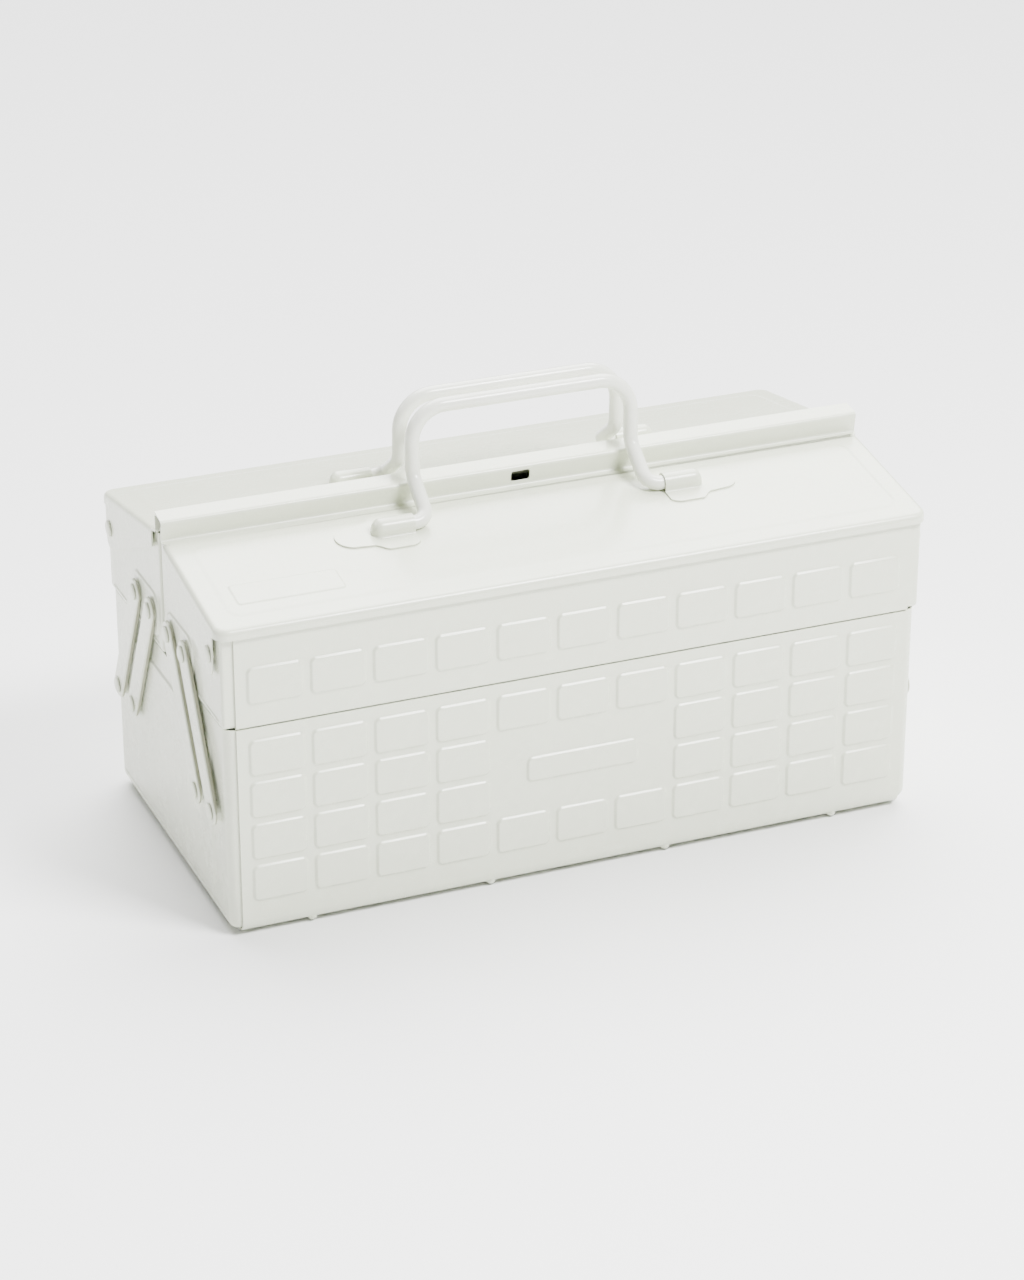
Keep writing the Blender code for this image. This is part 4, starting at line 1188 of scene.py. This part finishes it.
class BOX_OT_studio(bpy.types.Operator):
    """Pale floor, soft lights and the camera."""

    bl_idname = "box.studio"
    bl_label = "Studio"

    def execute(self, context):
        studio = context.scene.studio_settings
        mesh = bpy.data.meshes.new("studio_floor")
        xs, ys = corners_of(FLOOR_HALF, -FLOOR_HALF, FLOOR_HALF)
        mesh.from_pydata(np.stack([xs, ys, np.zeros(4)], 1), [], [(0, 1, 2, 3)])
        floor = bpy.data.objects.new("studio_floor", mesh)
        context.scene.collection.objects.link(floor)
        material = bpy.data.materials.new("floor_paper")
        material.use_nodes = True
        shader = material.node_tree.nodes["Principled BSDF"]
        shader.inputs["Base Color"].default_value = (*studio.floor, 1.0)
        shader.inputs["Roughness"].default_value = 0.85
        mesh.materials.append(material)

        world = bpy.data.worlds.new("studio_world")
        context.scene.world = world
        world.use_nodes = True
        sky = world.node_tree.nodes["Background"]
        seen = Flow(world.node_tree, None).node("ShaderNodeLightPath")
        sky.inputs["Color"].default_value = (1.0, 1.0, 1.0, 1.0)
        strength = studio.sky_light + seen * (studio.sky_seen - studio.sky_light)
        world.node_tree.links.new(strength.socket, sky.inputs["Strength"])

        middle = (0.0, 0.0, 0.1)
        area_light("key_softbox", studio.key_power, KEY_SIZE, KEY_PLACE, middle)
        area_light("end_softbox", studio.end_power, END_SIZE, END_PLACE, middle)
        ceiling = bpy.data.lights.new("ceiling_glow", "SUN")
        ceiling.energy = studio.ceiling
        ceiling.angle = CEILING_SPREAD
        lamp = bpy.data.objects.new("ceiling_glow", ceiling)
        lamp.rotation_euler = CEILING_LEAN
        context.scene.collection.objects.link(lamp)

        turn, rise = studio.azimuth, studio.elevation
        level = math.cos(rise)
        back = Vector((math.sin(turn) * level, -math.cos(turn) * level, math.sin(rise)))
        data = bpy.data.cameras.new("camera")
        data.sensor_width = SENSOR
        data.lens = LENS
        data.clip_start, data.clip_end = 0.05, 60.0
        camera = bpy.data.objects.new("camera", data)
        camera.location = Vector(CAMERA_TARGET) + back * studio.distance
        camera.rotation_euler = (-back).to_track_quat("-Z", "Y").to_euler()
        context.scene.collection.objects.link(camera)
        context.scene.camera = camera
        return {"FINISHED"}


OPERATORS = (
    BOX_OT_base_shell,
    BOX_OT_base_ends,
    BOX_OT_tray_shells,
    BOX_OT_tray_ends,
    BOX_OT_partitions,
    BOX_OT_arms,
    BOX_OT_rivets,
    BOX_OT_lids,
    BOX_OT_handles,
    BOX_OT_clips,
    BOX_OT_studio,
)


class BOX_PT_panel(bpy.types.Panel):
    """Sidebar panel that lists the pieces, their sizes and the studio."""

    bl_label = "Sewing box"
    bl_idname = "BOX_PT_panel"
    bl_space_type = "VIEW_3D"
    bl_region_type = "UI"
    bl_category = "Sewing box"

    def draw(self, context):
        scene = context.scene
        for group in (scene.box_sizes, scene.box_colours, scene.studio_settings):
            column = self.layout.column()
            for key in type(group).__annotations__:
                column.prop(group, key)
        for operator in OPERATORS:
            self.layout.operator(operator.bl_idname)


GROUPS = {"box_sizes": BoxSizes, "box_colours": BoxColours, "studio_settings": StudioSettings}


def register():
    for name, group in GROUPS.items():
        bpy.utils.register_class(group)
        setattr(bpy.types.Scene, name, bpy.props.PointerProperty(type=group))
    for cls in (*OPERATORS, BOX_PT_panel):
        bpy.utils.register_class(cls)


def unregister():
    for cls in reversed((*OPERATORS, BOX_PT_panel)):
        bpy.utils.unregister_class(cls)
    for name, group in GROUPS.items():
        delattr(bpy.types.Scene, name)
        bpy.utils.unregister_class(group)


def main():
    register()
    bpy.ops.box.base_shell()
    bpy.ops.box.base_ends()
    bpy.ops.box.tray_shells()
    bpy.ops.box.tray_ends()
    bpy.ops.box.partitions()
    bpy.ops.box.arms()
    bpy.ops.box.rivets()
    bpy.ops.box.lids()
    bpy.ops.box.handles()
    bpy.ops.box.clips()
    bpy.ops.box.studio()


if __name__ == "__main__":
    main()
